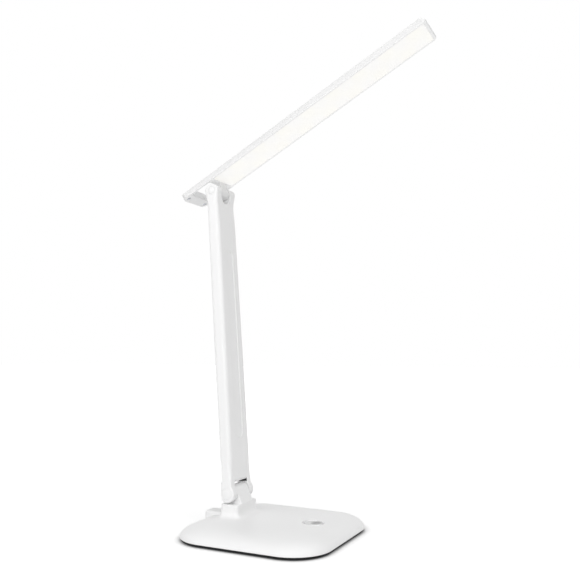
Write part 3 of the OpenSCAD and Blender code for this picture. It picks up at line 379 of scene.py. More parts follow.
class Finish(Shading):
    """A Principled material in one colour.  Patterns are added to it on Object coordinates, in metres."""

    def __init__(self, name, colour, roughness, **plain):
        self.material = bpy.data.materials.new(name)
        super().__init__(self.material)
        self.shader = self.tree.nodes["Principled BSDF"]
        self.colour = colour
        self.set("Base Color", (*colour, 1))
        self.set("Roughness", roughness)
        for socket, value in plain.items():
            self.set(socket.replace("_", " "), value)
        self.normal = None

    def set(self, socket, value):
        self.shader.inputs[socket].default_value = value

    def drive(self, socket, value):
        """Lets a node's output feed an input of the shader."""
        self.tree.links.new(value, self.shader.inputs[socket])
        return self

    def where(self, centre=(0, 0, 0), turn=(0, 0, 0), scale=(1, 1, 1)):
        """Object coordinates, moved so that centre is the origin, then turned and scaled."""
        moved = self.vector("SUBTRACT", self.node("TexCoord").outputs["Object"], centre)
        return self.node("Mapping", [("Vector", moved), ("Rotation", turn), ("Scale", scale)]).outputs[0]

    def noise(self, scale, detail=2.0, place=None):
        place = place or self.where()
        return self.node("TexNoise", [("Vector", place), ("Scale", scale), ("Detail", detail)]).outputs["Fac"]

    def cells(self, scale, **settings):
        """Distance from the nearest of scattered points."""
        points = self.node("TexVoronoi", [("Vector", self.where()), ("Scale", scale)], **settings)
        return points.outputs["Distance"]

    def spread(self, value, low, high, start=0.3, stop=0.7):
        """The value's range from start to stop, spread to the range from low to high."""
        return self.node("MapRange", [("Value", value), ("From Min", start), ("From Max", stop),
                                      ("To Min", low), ("To Max", high)]).outputs[0]

    def rough(self, value, low, high, start=0.3, stop=0.7):
        return self.drive("Roughness", self.spread(value, low, high, start, stop))

    def tint(self, value, other, start=0.3, stop=0.7, socket="Base Color"):
        """Colour from the finish's own at start to another at stop."""
        mix = self.node("Mix", [("Factor", self.spread(value, 0, 1, start, stop))], data_type="RGBA")
        mix.inputs["A"].default_value = (*self.colour, 1)
        mix.inputs["B"].default_value = (*other, 1)
        return self.drive(socket, mix.outputs["Result"])

    def shade(self, value, share):
        """Own colour at the pattern's low end, and that share of it at the high end."""
        return self.tint(value, tuple(share * c for c in self.colour))

    def bump(self, value, depth, strength=1.0):
        """Relief of that depth in metres; a later call lies on top of an earlier one."""
        links = [("Height", value), ("Distance", depth), ("Strength", strength)]
        if self.normal:
            links.append(("Normal", self.normal))
        self.normal = self.node("Bump", links).outputs[0]
        return self.drive("Normal", self.normal)


def satin(name, colour, roughness=0.34):
    """Satin moulded plastic: faint flow marks in its gloss, a fine spark-eroded grain and slow sinks."""
    skin = Finish(name, colour, roughness, IOR=1.49)
    skin.rough(skin.noise(45, 3), roughness - 0.04, roughness + 0.06)
    skin.shade(skin.noise(9, 2), 0.985)
    skin.bump(skin.noise(2600, 3), 0.000012, 0.6)
    return skin.bump(skin.noise(28, 1), 0.00012, 0.25)


def metal(name, colour, roughness, grain=(1, 1, 1), depth=0.000004):
    """Bare metal with a drawn or rolled grain along the axis where the grain's scale is least."""
    skin = Finish(name, colour, roughness, Metallic=1.0)
    lines = skin.noise(900, 4, skin.where(scale=grain))
    skin.rough(lines, roughness - 0.06, roughness + 0.1)
    skin.shade(skin.noise(150, 3), 0.86)
    return skin.bump(lines, depth, 0.7)


def key_disc():
    """Turned and anodised aluminium, with a painted dark reflection a little off its centre.  Its turning
    marks are waves of the distance from the key's centre."""
    pitch = 0.34 * MM
    skin = Finish("turned key", (0.3, 0.3, 0.3), 0.3, Metallic=1.0)
    flat = skin.vector("MULTIPLY", skin.where((KEY_X * MM, 0.0, 0.0)), (1, 1, 0))
    distance = skin.vector("LENGTH", flat, result="Value")
    wave = skin.calc("SINE", skin.calc("MULTIPLY", distance, 2 * math.pi / pitch))
    skin.rough(wave, 0.22, 0.36, -1, 1)
    # painted reflection: the key is darker within a few millimetres of this point
    dark_reflection_at = ((KEY_X + 2.4) * MM, 1.2 * MM, KEY_TOP * MM)
    dark_reflection = skin.vector("LENGTH", skin.where(dark_reflection_at), result="Value")
    skin.tint(dark_reflection, (0.62, 0.62, 0.62), 0.0034, 0.0058)
    return skin.bump(wave, 0.000004, 0.6)


def rubber():
    """Matt rubber with a fine leather-like nip on its surface."""
    skin = Finish("mat rubber", (0.022, 0.022, 0.024), 0.82)
    nip = skin.cells(1400)
    skin.rough(nip, 0.74, 0.9)
    skin.tint(skin.noise(60, 3), (0.034, 0.034, 0.035))
    return skin.bump(nip, 0.00004, 0.8)


def textured_black():
    """Black polypropylene with the coarse grain of an unseen cover."""
    skin = Finish("grained black plate", (0.014, 0.014, 0.015), 0.5, Specular_IOR_Level=0.12)
    grain = skin.noise(1500, 4)
    skin.rough(grain, 0.42, 0.62)
    skin.tint(skin.noise(70, 2), (0.02, 0.02, 0.021))
    return skin.bump(grain, 0.00003, 0.8)


def soft_jacket():
    """Matt black vinyl of a thin lead."""
    skin = Finish("lead jacket", (0.025, 0.025, 0.027), 0.45)
    skin.rough(skin.noise(500, 2), 0.38, 0.55)
    skin.tint(skin.noise(90, 2), (0.035, 0.035, 0.037))
    return skin.bump(skin.noise(1800, 2), 0.00001, 0.5)


def cell_foil():
    """Aluminium foil of a pouch cell, faintly creased."""
    skin = Finish("cell foil", (0.72, 0.73, 0.75), 0.32, Metallic=1.0)
    crease = skin.noise(160, 5)
    skin.rough(crease, 0.24, 0.42)
    skin.tint(skin.noise(60, 3), (0.62, 0.63, 0.66))
    return skin.bump(crease, 0.00008, 0.5)


def circuit_green():
    """Green solder mask, with its copper tracks as faint straight steps and paler pads."""
    skin = Finish("circuit board", (0.02, 0.16, 0.06), 0.35, IOR=1.5)
    tracks = skin.cells(420, distance="CHEBYCHEV")
    skin.tint(tracks, (0.035, 0.24, 0.09), 0.45, 0.5)
    skin.rough(tracks, 0.28, 0.42)
    return skin.bump(skin.spread(tracks, 0, 1, 0.45, 0.5), 0.00002, 0.6)


def from_hinge(skin):
    """Sockets of the coordinates in the head's own frame, in metres."""
    place = skin.where(tuple(UPPER_AXIS * MM), (0.0, math.radians(HEAD_UP), 0.0))
    return skin.node("SeparateXYZ", [("Vector", place)]).outputs


def head_white():
    """The head's satin white, with a painted glow on its underside in place of light from the lit plate:
    little behind the hinge, more in the lips beside the plate."""
    skin = satin("satin white head, painted glow", (0.81, 0.81, 0.81))
    head = from_hinge(skin)
    low = skin.spread(head["Z"], 1, 0, (HEAD_Z0 + 0.05) * MM, (HEAD_Z0 + 0.45) * MM)
    above = skin.spread(head["Z"], 0, 1, (HEAD_Z0 - 0.3) * MM, (HEAD_Z0 - 0.1) * MM)
    # painted glow: emission on the head's underside, which is no lamp
    painted_glow = skin.spread(head["X"], 0.12, 0.2, 0, 0.012)
    return skin.drive("Emission Strength", skin.calc("MULTIPLY", skin.calc("MULTIPLY", low, above), painted_glow))


def milk():
    """Lit opal plate.  Under it the chips stand in two rows, warm and cool by turns, so that their light
    shows through as faint spots: the colour turns with cos(pi * x / pitch) * y."""
    skin = Finish("opal diffuser", (0.5, 0.49, 0.47), 0.32, IOR=1.49, Emission_Strength=0.56)
    head = from_hinge(skin)
    pitch = (LED_X1 - LED_X0) / LED_COUNT * MM
    from_chip = skin.calc("SUBTRACT", head["X"], LED_X0 * MM + pitch / 2)
    along = skin.calc("COSINE", skin.calc("MULTIPLY", from_chip, math.pi / pitch))
    turns = skin.calc("MULTIPLY", along, skin.calc("DIVIDE", head["Y"], LED_Y * MM))
    skin.colour = (0.95, 0.95, 0.95)
    skin.tint(skin.spread(turns, 0, 1, -1, 1), (0.975, 0.965, 0.92), 0, 1, "Emission Color")
    skin.rough(skin.noise(60, 2), 0.28, 0.38)
    return skin.bump(skin.noise(1900, 2), 0.00001, 0.5)


def chip(name, colour):
    """Lit chip: phosphor gel, a little uneven."""
    skin = Finish(name, colour, 0.4, Emission_Color=(*colour, 1), Emission_Strength=1.6)
    skin.shade(skin.noise(700, 2), 0.92)
    skin.rough(skin.noise(900, 2), 0.3, 0.5)
    return skin.bump(skin.noise(1500, 2), 0.00002, 0.5)


finishes = {slot: finish.material for slot, finish in {
    "white_shell": satin("satin white ABS", (0.88, 0.88, 0.88)),
    "head_white": head_white(),
    "black_plate": textured_black(),
    "rubber_mat": rubber(),
    "screw_steel": metal("zinc-plated screw", (0.62, 0.63, 0.66), 0.3),
    "weight_steel": metal("rolled steel", (0.44, 0.45, 0.47), 0.42, (1, 0.05, 1), 0.00001),
    "cell_foil": cell_foil(),
    "circuit_board": circuit_green(),
    "key_disc": key_disc(),
    "key_ring": metal("polished ring", (0.78, 0.78, 0.79), 0.16),
    "inlet_shell": metal("tinned inlet", (0.56, 0.57, 0.6), 0.3, (0.1, 1, 1)),
    "lead_jacket": soft_jacket(),
    "hinge_steel": metal("ground steel", (0.5, 0.51, 0.53), 0.34, (1, 0.08, 1)),
    "diffuser_milk": milk(),
    "led_board_white": satin("white solder mask", (0.86, 0.87, 0.85), 0.4),
    "led_warm": chip("warm chip", (1.0, 0.8, 0.42)),
    "led_cool": chip("cool chip", (0.86, 0.93, 1.0)),
}.items()}


# ---- base ------------------------------------------------------------------------------------

def dome_at(p):
    """Height of the dome over plan points: foot + rise * sqrt(1 - (1 - u/half)^power), with u the distance
    in from the outline.  u comes from the rounded rectangle's distance field, whose ridges are eased by
    ab/(a^4+b^4)^(1/4); inside the hump the dome is sunk clear of the inlet."""
    qx = np.abs(p[..., 0]) - (BASE_L / 2 - BASE_R)
    qy = np.abs(p[..., 1]) - (BASE_W / 2 - BASE_R)
    a, b = np.maximum(-qx, 0), np.maximum(-qy, 0)
    deep = a * b / np.maximum(a ** 4 + b ** 4, 1e-9) ** 0.25
    u = BASE_R - np.hypot(np.maximum(qx, 0), np.maximum(qy, 0)) + deep
    rise = np.sqrt(1 - np.abs(1 - u / (BASE_W / 2)) ** DOME_POWER) * (CROWN_Z - SHELL_Z)
    dip = DIP * ramp((DIP_X - p[..., 0]) / DIP_REACH) * ramp((DIP_HALF - np.abs(p[..., 1])) / DIP_SIDE)
    return SHELL_Z + rise - dip * np.clip(rise / DIP_RISE, 0, 1)


def dome_angle(u):
    """Angle at which a wall of the dome's section stands u in from its foot, with u a share of its half."""
    return math.acos((1 - u) ** (DOME_POWER / 2))


# The base's outline, from the split line round the back (REAR_STEPS), then round the front
side_y, end_x = BASE_W / 2 - BASE_R, BASE_L / 2 - BASE_R
base_c, base_n = trace(
    (SPLIT_X, side_y, 90, 18), (-end_x, side_y, 90, 20), (-end_x, side_y, 180, 28),
    (-end_x, -side_y, 180, 20), (-end_x, -side_y, 270, 18), (SPLIT_X, -side_y, 270, 12),
    (end_x, -side_y, 270, 20), (end_x, -side_y, 360, 28), (end_x, side_y, 360, 20),
    (end_x, side_y, 450, 12), (SPLIT_X, side_y, 450, 0))
REAR_STEPS, SPLIT_STEPS = 104, 40

# The neck's outline, from its front left corner round the back
neck_x0, neck_x1 = AXIS_X - NECK_BACK + NECK_R, AXIS_X + NECK_FRONT - NECK_R
neck_y = ARM_W_LOW / 2 - NECK_R
neck_c, neck_n = trace(
    (neck_x1, neck_y, 45, 6), (neck_x1, neck_y, 90, 20), (neck_x0, neck_y, 90, 12),
    (neck_x0, neck_y, 180, 28), (neck_x0, -neck_y, 180, 12), (neck_x0, -neck_y, 270, 20),
    (neck_x1, -neck_y, 270, 12), (neck_x1, -neck_y, 360, 28), (neck_x1, neck_y, 360, 6),
    (neck_x1, neck_y, 405, 0))


def base_ring(u, z):
    """The base's outline drawn in by u, at height z."""
    return at_z(base_c + (BASE_R - u) * base_n, z)


def neck_ring(out, z):
    """The neck's outline spread by out, in parts of FLARE in front and of FLARE_SIDE elsewhere."""
    spread = FLARE_SIDE + (FLARE - FLARE_SIDE) * ramp(neck_n[:, :1])
    return at_z(neck_c + (NECK_R + out * spread) * neck_n, z)


def on_dome(inner, outer, shares):
    """Rings between two outlines, at the given shares of the way, lifted to the dome's height."""
    s = shares[:, None, None]
    rows = inner * (1 - s) + outer * s
    rows[..., 2] = dome_at(rows)
    return rows


def base_housing():
    """Domed shell that flares into the neck.  Its crown is two patches, round the neck and round the key's
    seat, that meet on a line across the base; a band turns over to the foot and up into the hollow."""
    skin = Skin()
    edge = base_ring(DOME_BAND, 0)
    split = xyz(SPLIT_X, np.linspace(-edge[0, 1], edge[0, 1], SPLIT_STEPS + 1), 0)
    neck(skin, np.concatenate([edge[:REAR_STEPS], split[:-1]]))
    key_seat(skin, np.concatenate([edge[REAR_STEPS:], split[:0:-1]]))
    rolled_side(skin)
    knuckle(skin)
    hump(skin)
    skin.piece("base_housing", "base", "white_shell", ["base_shell"])


def neck(skin, outer):
    """The dome from an outline in to the neck's foot, the flare up from it, and the rounded shoulder."""
    rows = on_dome(neck_ring(1, 0), outer, np.linspace(0, 1, 17))
    foot_z = rows[0, :, 2]
    climb = CROWN_Z + FLARE_H - foot_z
    flare = [neck_ring(a ** FLARE_POWER, foot_z + climb * b) for a, b in softened(1, 9)]
    brow = [neck_ring(-BROW_IN * b, SHOULDER_Z - BROW_H * a) for a, b in softened(1, 4)]
    skin.grid(rows, wrap=True).grid(flare + brow, wrap=True).fill(brow[-1])


def key_seat(skin, outer):
    """The dome from an outline in to the key's seat, and the seat's softened lip, wall and floor."""
    seat_r = KEY_R + RING_W + FIT
    angle = np.arctan2(outer[:, 1], outer[:, 0] - KEY_X)
    spoke = np.stack([np.cos(angle), np.sin(angle), 0 * angle], -1)
    centre, up = np.array([KEY_X, 0, 0]), np.array([0, 0, 1])
    rows = on_dome(centre + spoke * (seat_r + SEAT_LIP), outer, np.linspace(0, 1, 15) ** 1.3)
    rim_z = rows[0, :, 2:]
    well = [centre + spoke * (seat_r + a) + up * (rim_z - b) for a, b in softened(SEAT_LIP, 3)]
    well.append(centre + spoke * seat_r + up * (KEY_TOP - KEY_SEAT))
    skin.grid(rows, wrap=True).grid(well, wrap=True).fill(well[-1])


def rolled_side(skin):
    """The dome's side down to its softened foot, and the hollow's side and ceiling one WALL inside.  A ring
    at angle v of the section stands half * (1 - cos(v)^(2/power)) in."""
    band = [base_ring(BASE_W / 2 * (1 - math.cos(v) ** (2 / DOME_POWER)), 0)
            for v in np.linspace(dome_angle(2 * DOME_BAND / BASE_W), FOOT_ANGLE, 18)]
    for row in band:
        row[:, 2] = dome_at(row)
    band += [base_ring(b, SHELL_Z + a) for a, b in softened(SOFT, 3)]
    half, rise = BASE_W / 2 - WALL, CROWN_Z - WALL - SHELL_Z
    band += [base_ring(WALL + half * (1 - math.cos(v) ** (2 / DOME_POWER)), SHELL_Z + rise * math.sin(v))
             for v in np.linspace(0, dome_angle(CEILING_BAND / half), 10)]
    skin.grid(band, wrap=True).fill(band[-1])


def knuckle(skin):
    """The neck's knuckle: a round of KNUCKLE_R about the hinge axis, whose front runs down its tangent to
    the shoulder's front edge.  Its foot is sunk in the neck."""
    drop = AXIS_Z - SHOULDER_Z
    reach = math.hypot(NECK_FRONT, drop)
    tangent = math.acos(KNUCKLE_R / reach) - math.atan2(drop, NECK_FRONT)
    crest = arc(0, 0, KNUCKLE_R, math.degrees(tangent), 180, 39)[0]
    bend, foot = -drop - KNUCKLE_BEND, -drop - KNUCKLE_SUNK
    low = [(-NECK_BACK, KNUCKLE_BACK - drop), (-NECK_BACK, bend), (KNUCKLE_IN - NECK_BACK, foot),
           (NECK_FRONT - KNUCKLE_IN, foot), (NECK_FRONT, bend), (NECK_FRONT, -drop)]
    skin.slab(np.concatenate([crest, low]) + [AXIS_X, AXIS_Z], KNUCKLE_HALF, KNUCKLE_RIM)


def hump(skin):
    """Housing of the power inlet: a rounded box with a flat rear face, and a blind mouth cut into it."""
    y0 = HUMP_W / 2 - HUMP_SIDE_R
    x0, x1 = HUMP_REAR + HUMP_SIDE_R, HUMP_FRONT - HUMP_SIDE_R
    c, n = trace((x0, y0, 180, 10), (x0, y0, 90, 8), (x1, y0, 90, 6), (x1, y0, 0, 6), (x1, -y0, 0, 6),
                 (x1, -y0, -90, 8), (x0, -y0, -90, 10), (x0, -y0, -180, 1), (x0, -y0, -180, 0))
    levels = [at_z(c + (HUMP_SIDE_R - b) * n, HUMP_TOP - a) for a, b in softened(HUMP_TOP_R, 8)]
    foot = at_z(c + HUMP_SIDE_R * n, HUMP_LOW)
    skin.grid(levels, wrap=True).fill(levels[-1]).fill(foot).grid([foot, levels[0]])
    mouth = [stadium(a, HUMP_REAR + b) for a, b in softened(MOUTH_LIP, 3)] + [stadium(0, MOUTH_END)]
    rear = np.array([foot[0], levels[0][0], levels[0][-1], foot[-1]])
    skin.fill(rear, [mouth[0]], flat=0).grid(mouth, wrap=True).fill(mouth[-1], flat=0)


def stadium(grow, x):
    """The inlet's mouth in the plane at x, widened by grow."""
    a = np.linspace(-math.pi / 2, math.pi / 2, 13)
    y = MOUTH_HALF - MOUTH_R + (MOUTH_R + grow) * np.cos(a)
    z = (MOUTH_R + grow) * np.sin(a)
    return xyz(x, np.concatenate([y, -y]), INLET_Z + np.concatenate([z, -z]))


def base_underside():
    """Black plate with the mat's bed and the screws' seats, and the rubber mat that lies in the bed."""
    screws = [(x * (BASE_L / 2 - SCREW_IN), y * (BASE_W / 2 - SCREW_IN)) for x in (-1, 1) for y in (-1, 1)]
    bed_z = MAT_Z + MAT_LET_IN
    wall = [base_ring(MAT_IN - FIT, bed_z), base_ring(MAT_IN - FIT, MAT_Z)]
    wall += [base_ring(PLATE_IN + a, MAT_Z + b) for a, b in softened(SOFT, 3)]
    wall.append(base_ring(PLATE_IN, SHELL_Z))
    seats = [at_z(polar(48, SCREW_SEAT_R, x, y), bed_z) for x, y in screws]
    plate = Skin().grid(wall, wrap=True).fill(wall[-1]).fill(wall[0], seats)
    for seat in seats:
        top = seat + [0, 0, SCREW_SEAT_Z - bed_z]
        plate.grid([seat, top], wrap=True).fill(top)
    plate.piece("bottom_plate", "base", "black_plate", ["base_plate"])

    edge = [base_ring(MAT_IN + a, b) for a, b in softened(SOFT, 3)] + [base_ring(MAT_IN, bed_z)]
    low, top = ([at_z(polar(48, MAT_HOLE_R, x, y), z) for x, y in screws] for z in (0.0, bed_z))
    mat = Skin().grid(edge, wrap=True).fill(edge[0], low).fill(edge[-1], top)
    for pair in zip(low, top):
        mat.grid(pair, wrap=True)
    mat.piece("rubber_mat", "base", "rubber_mat", ["base_mat"])


def touch_control():
    """Dished key and the bright ring round it, both turned about the key's centre."""
    seat_z, centre = KEY_TOP - KEY_SEAT, [KEY_X, 0, 0]
    top = KEY_TOP - KEY_LOW
    ball = (DISH_R ** 2 + DISH ** 2) / (2 * DISH)
    r = np.linspace(0, DISH_R, 10)
    bowl = np.stack([r, top - DISH + ball - np.sqrt(ball ** 2 - r ** 2)], -1)
    edge = [(KEY_R - a, top - b) for a, b in softened(KEY_RIM, 4)]
    key = Skin().grid(spun(np.concatenate([bowl, edge, [(KEY_R, seat_z), (0, seat_z)]])) + centre, True)
    key.piece("touch_key_disc", "base", "key_disc", ["touch_key"], smooth=20)
    bead = (RING_W - FIT) / 2
    a = np.linspace(0, math.pi, 13)
    mid = KEY_R + FIT + bead
    loop = np.stack([mid + bead * np.cos(a), KEY_TOP - bead + bead * np.sin(a)], -1)
    loop = np.concatenate([loop, [(mid - bead, seat_z), (mid + bead, seat_z)], loop[:1]])
    ring = Skin().grid(spun(loop) + centre, True)
    ring.piece("touch_key_ring", "base", "key_ring", ["touch_ring"])


base_housing()
base_underside()
touch_control()


# ---- arm -------------------------------------------------------------------------------------

def line(x, z0, z1, steps, side):
    """Points up or down the arm at x, with side as the inward normal's X."""
    z = np.linspace(z0, z1, steps + 1)
    return np.stack([np.full(len(z), x), z], -1), np.stack([np.full(len(z), float(side)), 0 * z], -1)


def fillet(cz, r, radius, sign):
    """Concave arc between the arm's front and the rim of a disc about the height cz, above it or (sign -1)
    below it.  Its centre stands radius ahead of the front and r + radius from the disc's centre.  Also
    gives the rim's angle where the arc ends, and the height where it starts."""
    fx = FRONT_X + radius
    dz = math.sqrt((r + radius) ** 2 - fx ** 2)
    end = math.degrees(math.atan2(dz, fx))
    p, n = arc(fx, dz, radius, 180, 180 + end, 6)
    return (p * [1, sign] + [0, cz], -n * [1, sign]), end * sign, cz + sign * dz


def joined(*parts):
    """Joins stretches of (points, normals) end to end, without the doubled points."""
    return tuple(np.concatenate([parts[0][k]] + [q[k][1:] for q in parts[1:]]) for k in (0, 1))


def rim_in(path, half, r, steps=4, side=1):
    """Columns round a long edge of radius r, from the wall at half to the surface: the path is drawn in by
    r * (1 - sin b) at half + side * r * (1 - cos b)."""
    p, n = path
    b = quarter(steps)
    r = np.broadcast_to(r, len(p))[:, None]
    q = p[:, None] + n[:, None] * (r * (1 - np.sin(b)))[..., None]
    return xyz(q[..., 0], half + side * r * (1 - np.cos(b)), q[..., 1])


def rim_out(path, r, steps=5):
    """Columns round an outer edge of radius r, from the surface to the arm's flat side."""
    return rim_in(path, arm_half(path[0][:, 1:]), r, steps, -1)[:, ::-1]


def arm_rim(path):
    """Rounding of the arm's long edges: ARM_R in front and BACK_RIM behind, eased to EAR_RIM at the ears
    and to less where the lower cap's seat comes near."""
    x, z = path[0].T
    full = np.where(x > 0, ARM_R, BACK_RIM)
    low, top = (z - RIM_LOW) / RIM_LOW_FADE, (ARM_L - RIM_TOP - z) / RIM_TOP_FADE
    r = EAR_RIM + (full - EAR_RIM) * ramp(low) * ramp(top)
    return rim_out(path, np.minimum(r, np.hypot(x, z) - CAPS["lower"][1] - SEAT_GAP))


def arm_front_shell():
    """The arm's front shell.  Its side outline runs down the front, over a concave fillet and round the
    ear, up the back, and along the seam; rims with quarter-circle sections carry it to the flat sides."""
    skin = Skin()
    low_rim = lower_ears(skin)
    top_rim, notch = upper_ears(skin)
    front_rim = front_face(skin, notch)
    low_back, seam, top_back = back_faces(skin, notch)
    side = np.concatenate([low_rim[:, -1], low_back[1:, -1], seam[:, -1], top_back[:, -1],
                           top_rim[::-1][1:, -1], front_rim[::-1][1:, -1]])
    seats = [cap_seat(0.0, CAPS["lower"][1], SEAT_DEEP[0]), cap_seat(ARM_L, CAPS["upper"][1], SEAT_DEEP[1])]
    skin.both_fill(side, [seat[0] for seat in seats])
    for seat in seats:
        skin.both(seat, wrap=True).both_fill(seat[-1])
    skin.points = [swollen(p) for p in skin.points]
    skin.piece("arm_front", "arm", "white_shell", ["arm_front_shell"])


SLOT_ACROSS = np.linspace(-SLOT_HALF, SLOT_HALF, 9)


def lower_ears(skin):
    """The ears beside the base's knuckle, and the slot's roof, rounded in front.  Gives the outer rim."""
    foot, end, start_z = fillet(0.0, EAR_R, FOOT_FILLET, 1)
    heel_x = BACK_X + HEEL_R
    heel_z = -math.sqrt((EAR_R - HEEL_R) ** 2 - heel_x ** 2)
    last = math.degrees(math.atan2(heel_z, heel_x))
    path = joined(line(FRONT_X, ROOF_Z, start_z, 8, -1), foot, arc(0, 0, EAR_R, end, last, 36),
                  arc(heel_x, heel_z, HEEL_R, last, -180, 10), line(BACK_X, heel_z, SLOT_H, 24, 1))
    # the inner edge's rounding ends where the slot's roof meets it
    z, back = path[0][:, 1], path[1][:, 0] > 0.99
    gap = SLOT_EDGE - np.sqrt(np.clip(SLOT_EDGE ** 2 - (ROOF_Z - z) ** 2, 0, None))
    r_in = np.clip(np.where(back, 0.8 * (SLOT_H - z), np.where(z > SLOT_H, 0.75 * gap, EDGE)), 0, EDGE)
    inner, rim = rim_in(path, SLOT_HALF, r_in), arm_rim(path)
    skin.both(np.concatenate([inner, rim], 1))
    roof = arc(FRONT_X - SLOT_EDGE, ROOF_Z, SLOT_EDGE, 0, -90, 8)[0]
    roof = np.concatenate([roof, [[BACK_X, SLOT_H]]])
    skin.grid(xyz(roof[:, None, 0], SLOT_ACROSS, roof[:, None, 1]))
    skin.both_fill(np.concatenate([inner[:, 0], xyz(roof[:, 0], SLOT_HALF, roof[:, 1])[::-1]]))
    return rim


def upper_ears(skin):
    """The ears beside the head's tongue, and the notch's round bottom.  Gives outer rim and notch."""
    (p, n), end, start_z = fillet(ARM_L, TOP_EAR_R, TOP_FILLET, -1)
    path = joined(line(FRONT_X, TURN_Z, start_z, 1, -1), (p, n),
                  arc(0, ARM_L, TOP_EAR_R, end, 180 - end, 40),
                  (p[::-1] * [-1, 1], n[::-1] * [-1, 1]), line(BACK_X, start_z, TURN_Z, 1, 1))
    inner, rim = rim_in(path, NOTCH_R, EDGE), arm_rim(path)
    skin.both(np.concatenate([inner, rim], 1)).both_fill(inner[:, 0])
    b = quarter(4)
    lip = EDGE * (1 - np.sin(b))
    x = np.concatenate([FRONT_X - lip[::-1], BACK_X + lip])
    r = NOTCH_R + EDGE * (1 - np.cos(np.concatenate([b[::-1], b])))
    a = np.linspace(0, -math.pi, 33)[:, None]
    notch = xyz(x, r * np.cos(a), TURN_Z + r * np.sin(a))
    skin.grid(notch)
    return rim, notch


def front_face(skin, notch):
    """The front face, with the long panel let into it.  Gives its rim."""
    rim = arm_rim(line(FRONT_X, ROOF_Z, TURN_Z, 48, -1))
    edge = rim[:, 0]
    outline = np.concatenate([xyz(FRONT_X, SLOT_ACROSS, ROOF_Z), edge, notch[:, 0], edge[::-1] * MIRROR])
    panel = panel_rings(outline)
    s = np.linspace(0, 1, 11)[:, None, None]
    skin.both(rim).grid(panel[0] * (1 - s) + outline * s, wrap=True)
    skin.grid(panel, wrap=True).fill(panel[-1], flat=0)
    return rim


def panel_rings(outline):
    """Rings of the long panel: a stadium PANEL_W wide with a softened lip, sunk PANEL_D into the front.
    They have a point for each point of the front face's outline: beside the stadium's straight sides the
    nearest one, and round its ends a turn that grows evenly with the length along the outline."""
    r = PANEL_W / 2
    ends = np.array([PANEL_LOW + r, PANEL_TOP - r])
    mid = np.clip(outline[:, 2], *ends)
    length = np.cumsum(np.linalg.norm(outline - np.roll(outline, 1, 0), axis=1))
    right = outline[:, 1] > NOTCH_R + 1
    low, top = np.interp(ends, outline[right, 2], length[right])
    crest = length[np.argmin(np.where(outline[:, 2] > PANEL_TOP, np.abs(outline[:, 1]), ARM_L))]
    turns = [2 * crest - low - length[-1], low, top, 2 * crest - top, 2 * crest - low, low + length[-1]]
    angle = np.radians(np.interp(length, turns, [-180, 0, 0, 180, 180, 360]))

    def ring(grow, x):
        return xyz(x, (r + grow) * np.cos(angle), mid + (r + grow) * np.sin(angle))

    lip = [ring(a, FRONT_X - b) for a, b in softened(PANEL_LIP, 3)]
    return lip + [ring(-b, FRONT_X - PANEL_D + a) for a, b in softened(SOFT, 3)]


def back_faces(skin, notch):
    """Back faces below and above the opening, their ledges, the seam between them and the hollow."""
    low = arm_rim(line(BACK_X, SLOT_H, OPEN_LOW, 1, 1))
    top = arm_rim(line(BACK_X, OPEN_TOP, TURN_Z, 9, 1))
    seam = rim_out(line(SEAM_X, OPEN_LOW, OPEN_TOP, 1, 1), SEAM_R, 3)
    skin.both(low).both(top).both(seam)
    edge = low[:, 0]
    skin.fill(np.concatenate([xyz(BACK_X, SLOT_ACROSS, SLOT_H), edge, edge[::-1] * MIRROR]), flat=0)
    edge = top[:, 0]
    skin.fill(np.concatenate([edge, notch[:, -1], edge[::-1] * MIRROR]), flat=0)
    skin.span(np.concatenate([low[-1], seam[0][::-1]])).span(np.concatenate([top[0], seam[-1][::-1]]))
    hollow = arm_hollow()
    skin.span(seam[:, 0], [hollow[0]], flat=0).grid(hollow, wrap=True).fill(hollow[-1], flat=0)
    return low, seam, top


def arm_hollow(end_low=1.4, end_top=1.0, side=1.8, front=2.8):
    """Rings of the front shell's hollow, from the seam to the inner face of its front wall, with the walls
    that it leaves at its ends, sides and front."""
    low, top = OPEN_LOW + end_low, OPEN_TOP - end_top
    h0, h1 = arm_half(low) - side, arm_half(top) - side
    y, z = np.array([-h0, h0, h1, -h1]), np.array([low, low, top, top])
    return [xyz(SEAM_X, y, z), xyz(FRONT_X - front, y, z)]


def cap_seat(z, r, deep):
    """Rings of a round seat in the arm's side about the hinge at height z: softened lip, wall and floor."""
    rows = []
    for grow, sink in (*SEAT_EDGE, (0.0, deep)):
        x, pz = polar(48, r + grow, 0.0, z).T
        rows.append(xyz(x, arm_half(pz) - sink, pz))
    return np.stack(rows)


def swollen(p):
    """The arm's soft form.  Between its ears the front stands SWELL_FRONT farther forward, less a crown of
    FRONT_CROWN * (2y / width)^2, faded out at both ends.  Front and back of the upper ears stand SWELL_TOP
    farther out."""
    x, y, z = p.T
    middle = ramp((z - SWELL_END) / SWELL_FADE) * ramp((ARM_L - SWELL_END - z) / SWELL_FADE)
    forward = (SWELL_FRONT - FRONT_CROWN * (2 * y / ARM_W_LOW) ** 2) * ramp((x - SEAM_X) / SWELL_DEEP)
    outer = np.sign(x) * ramp((np.abs(x) - TOP_CORE) / TOP_BLEND)
    top = SWELL_TOP * outer * ramp((z - ARM_L + TOP_START) / TOP_FADE)
    return xyz(x + forward * middle + top, y, z)


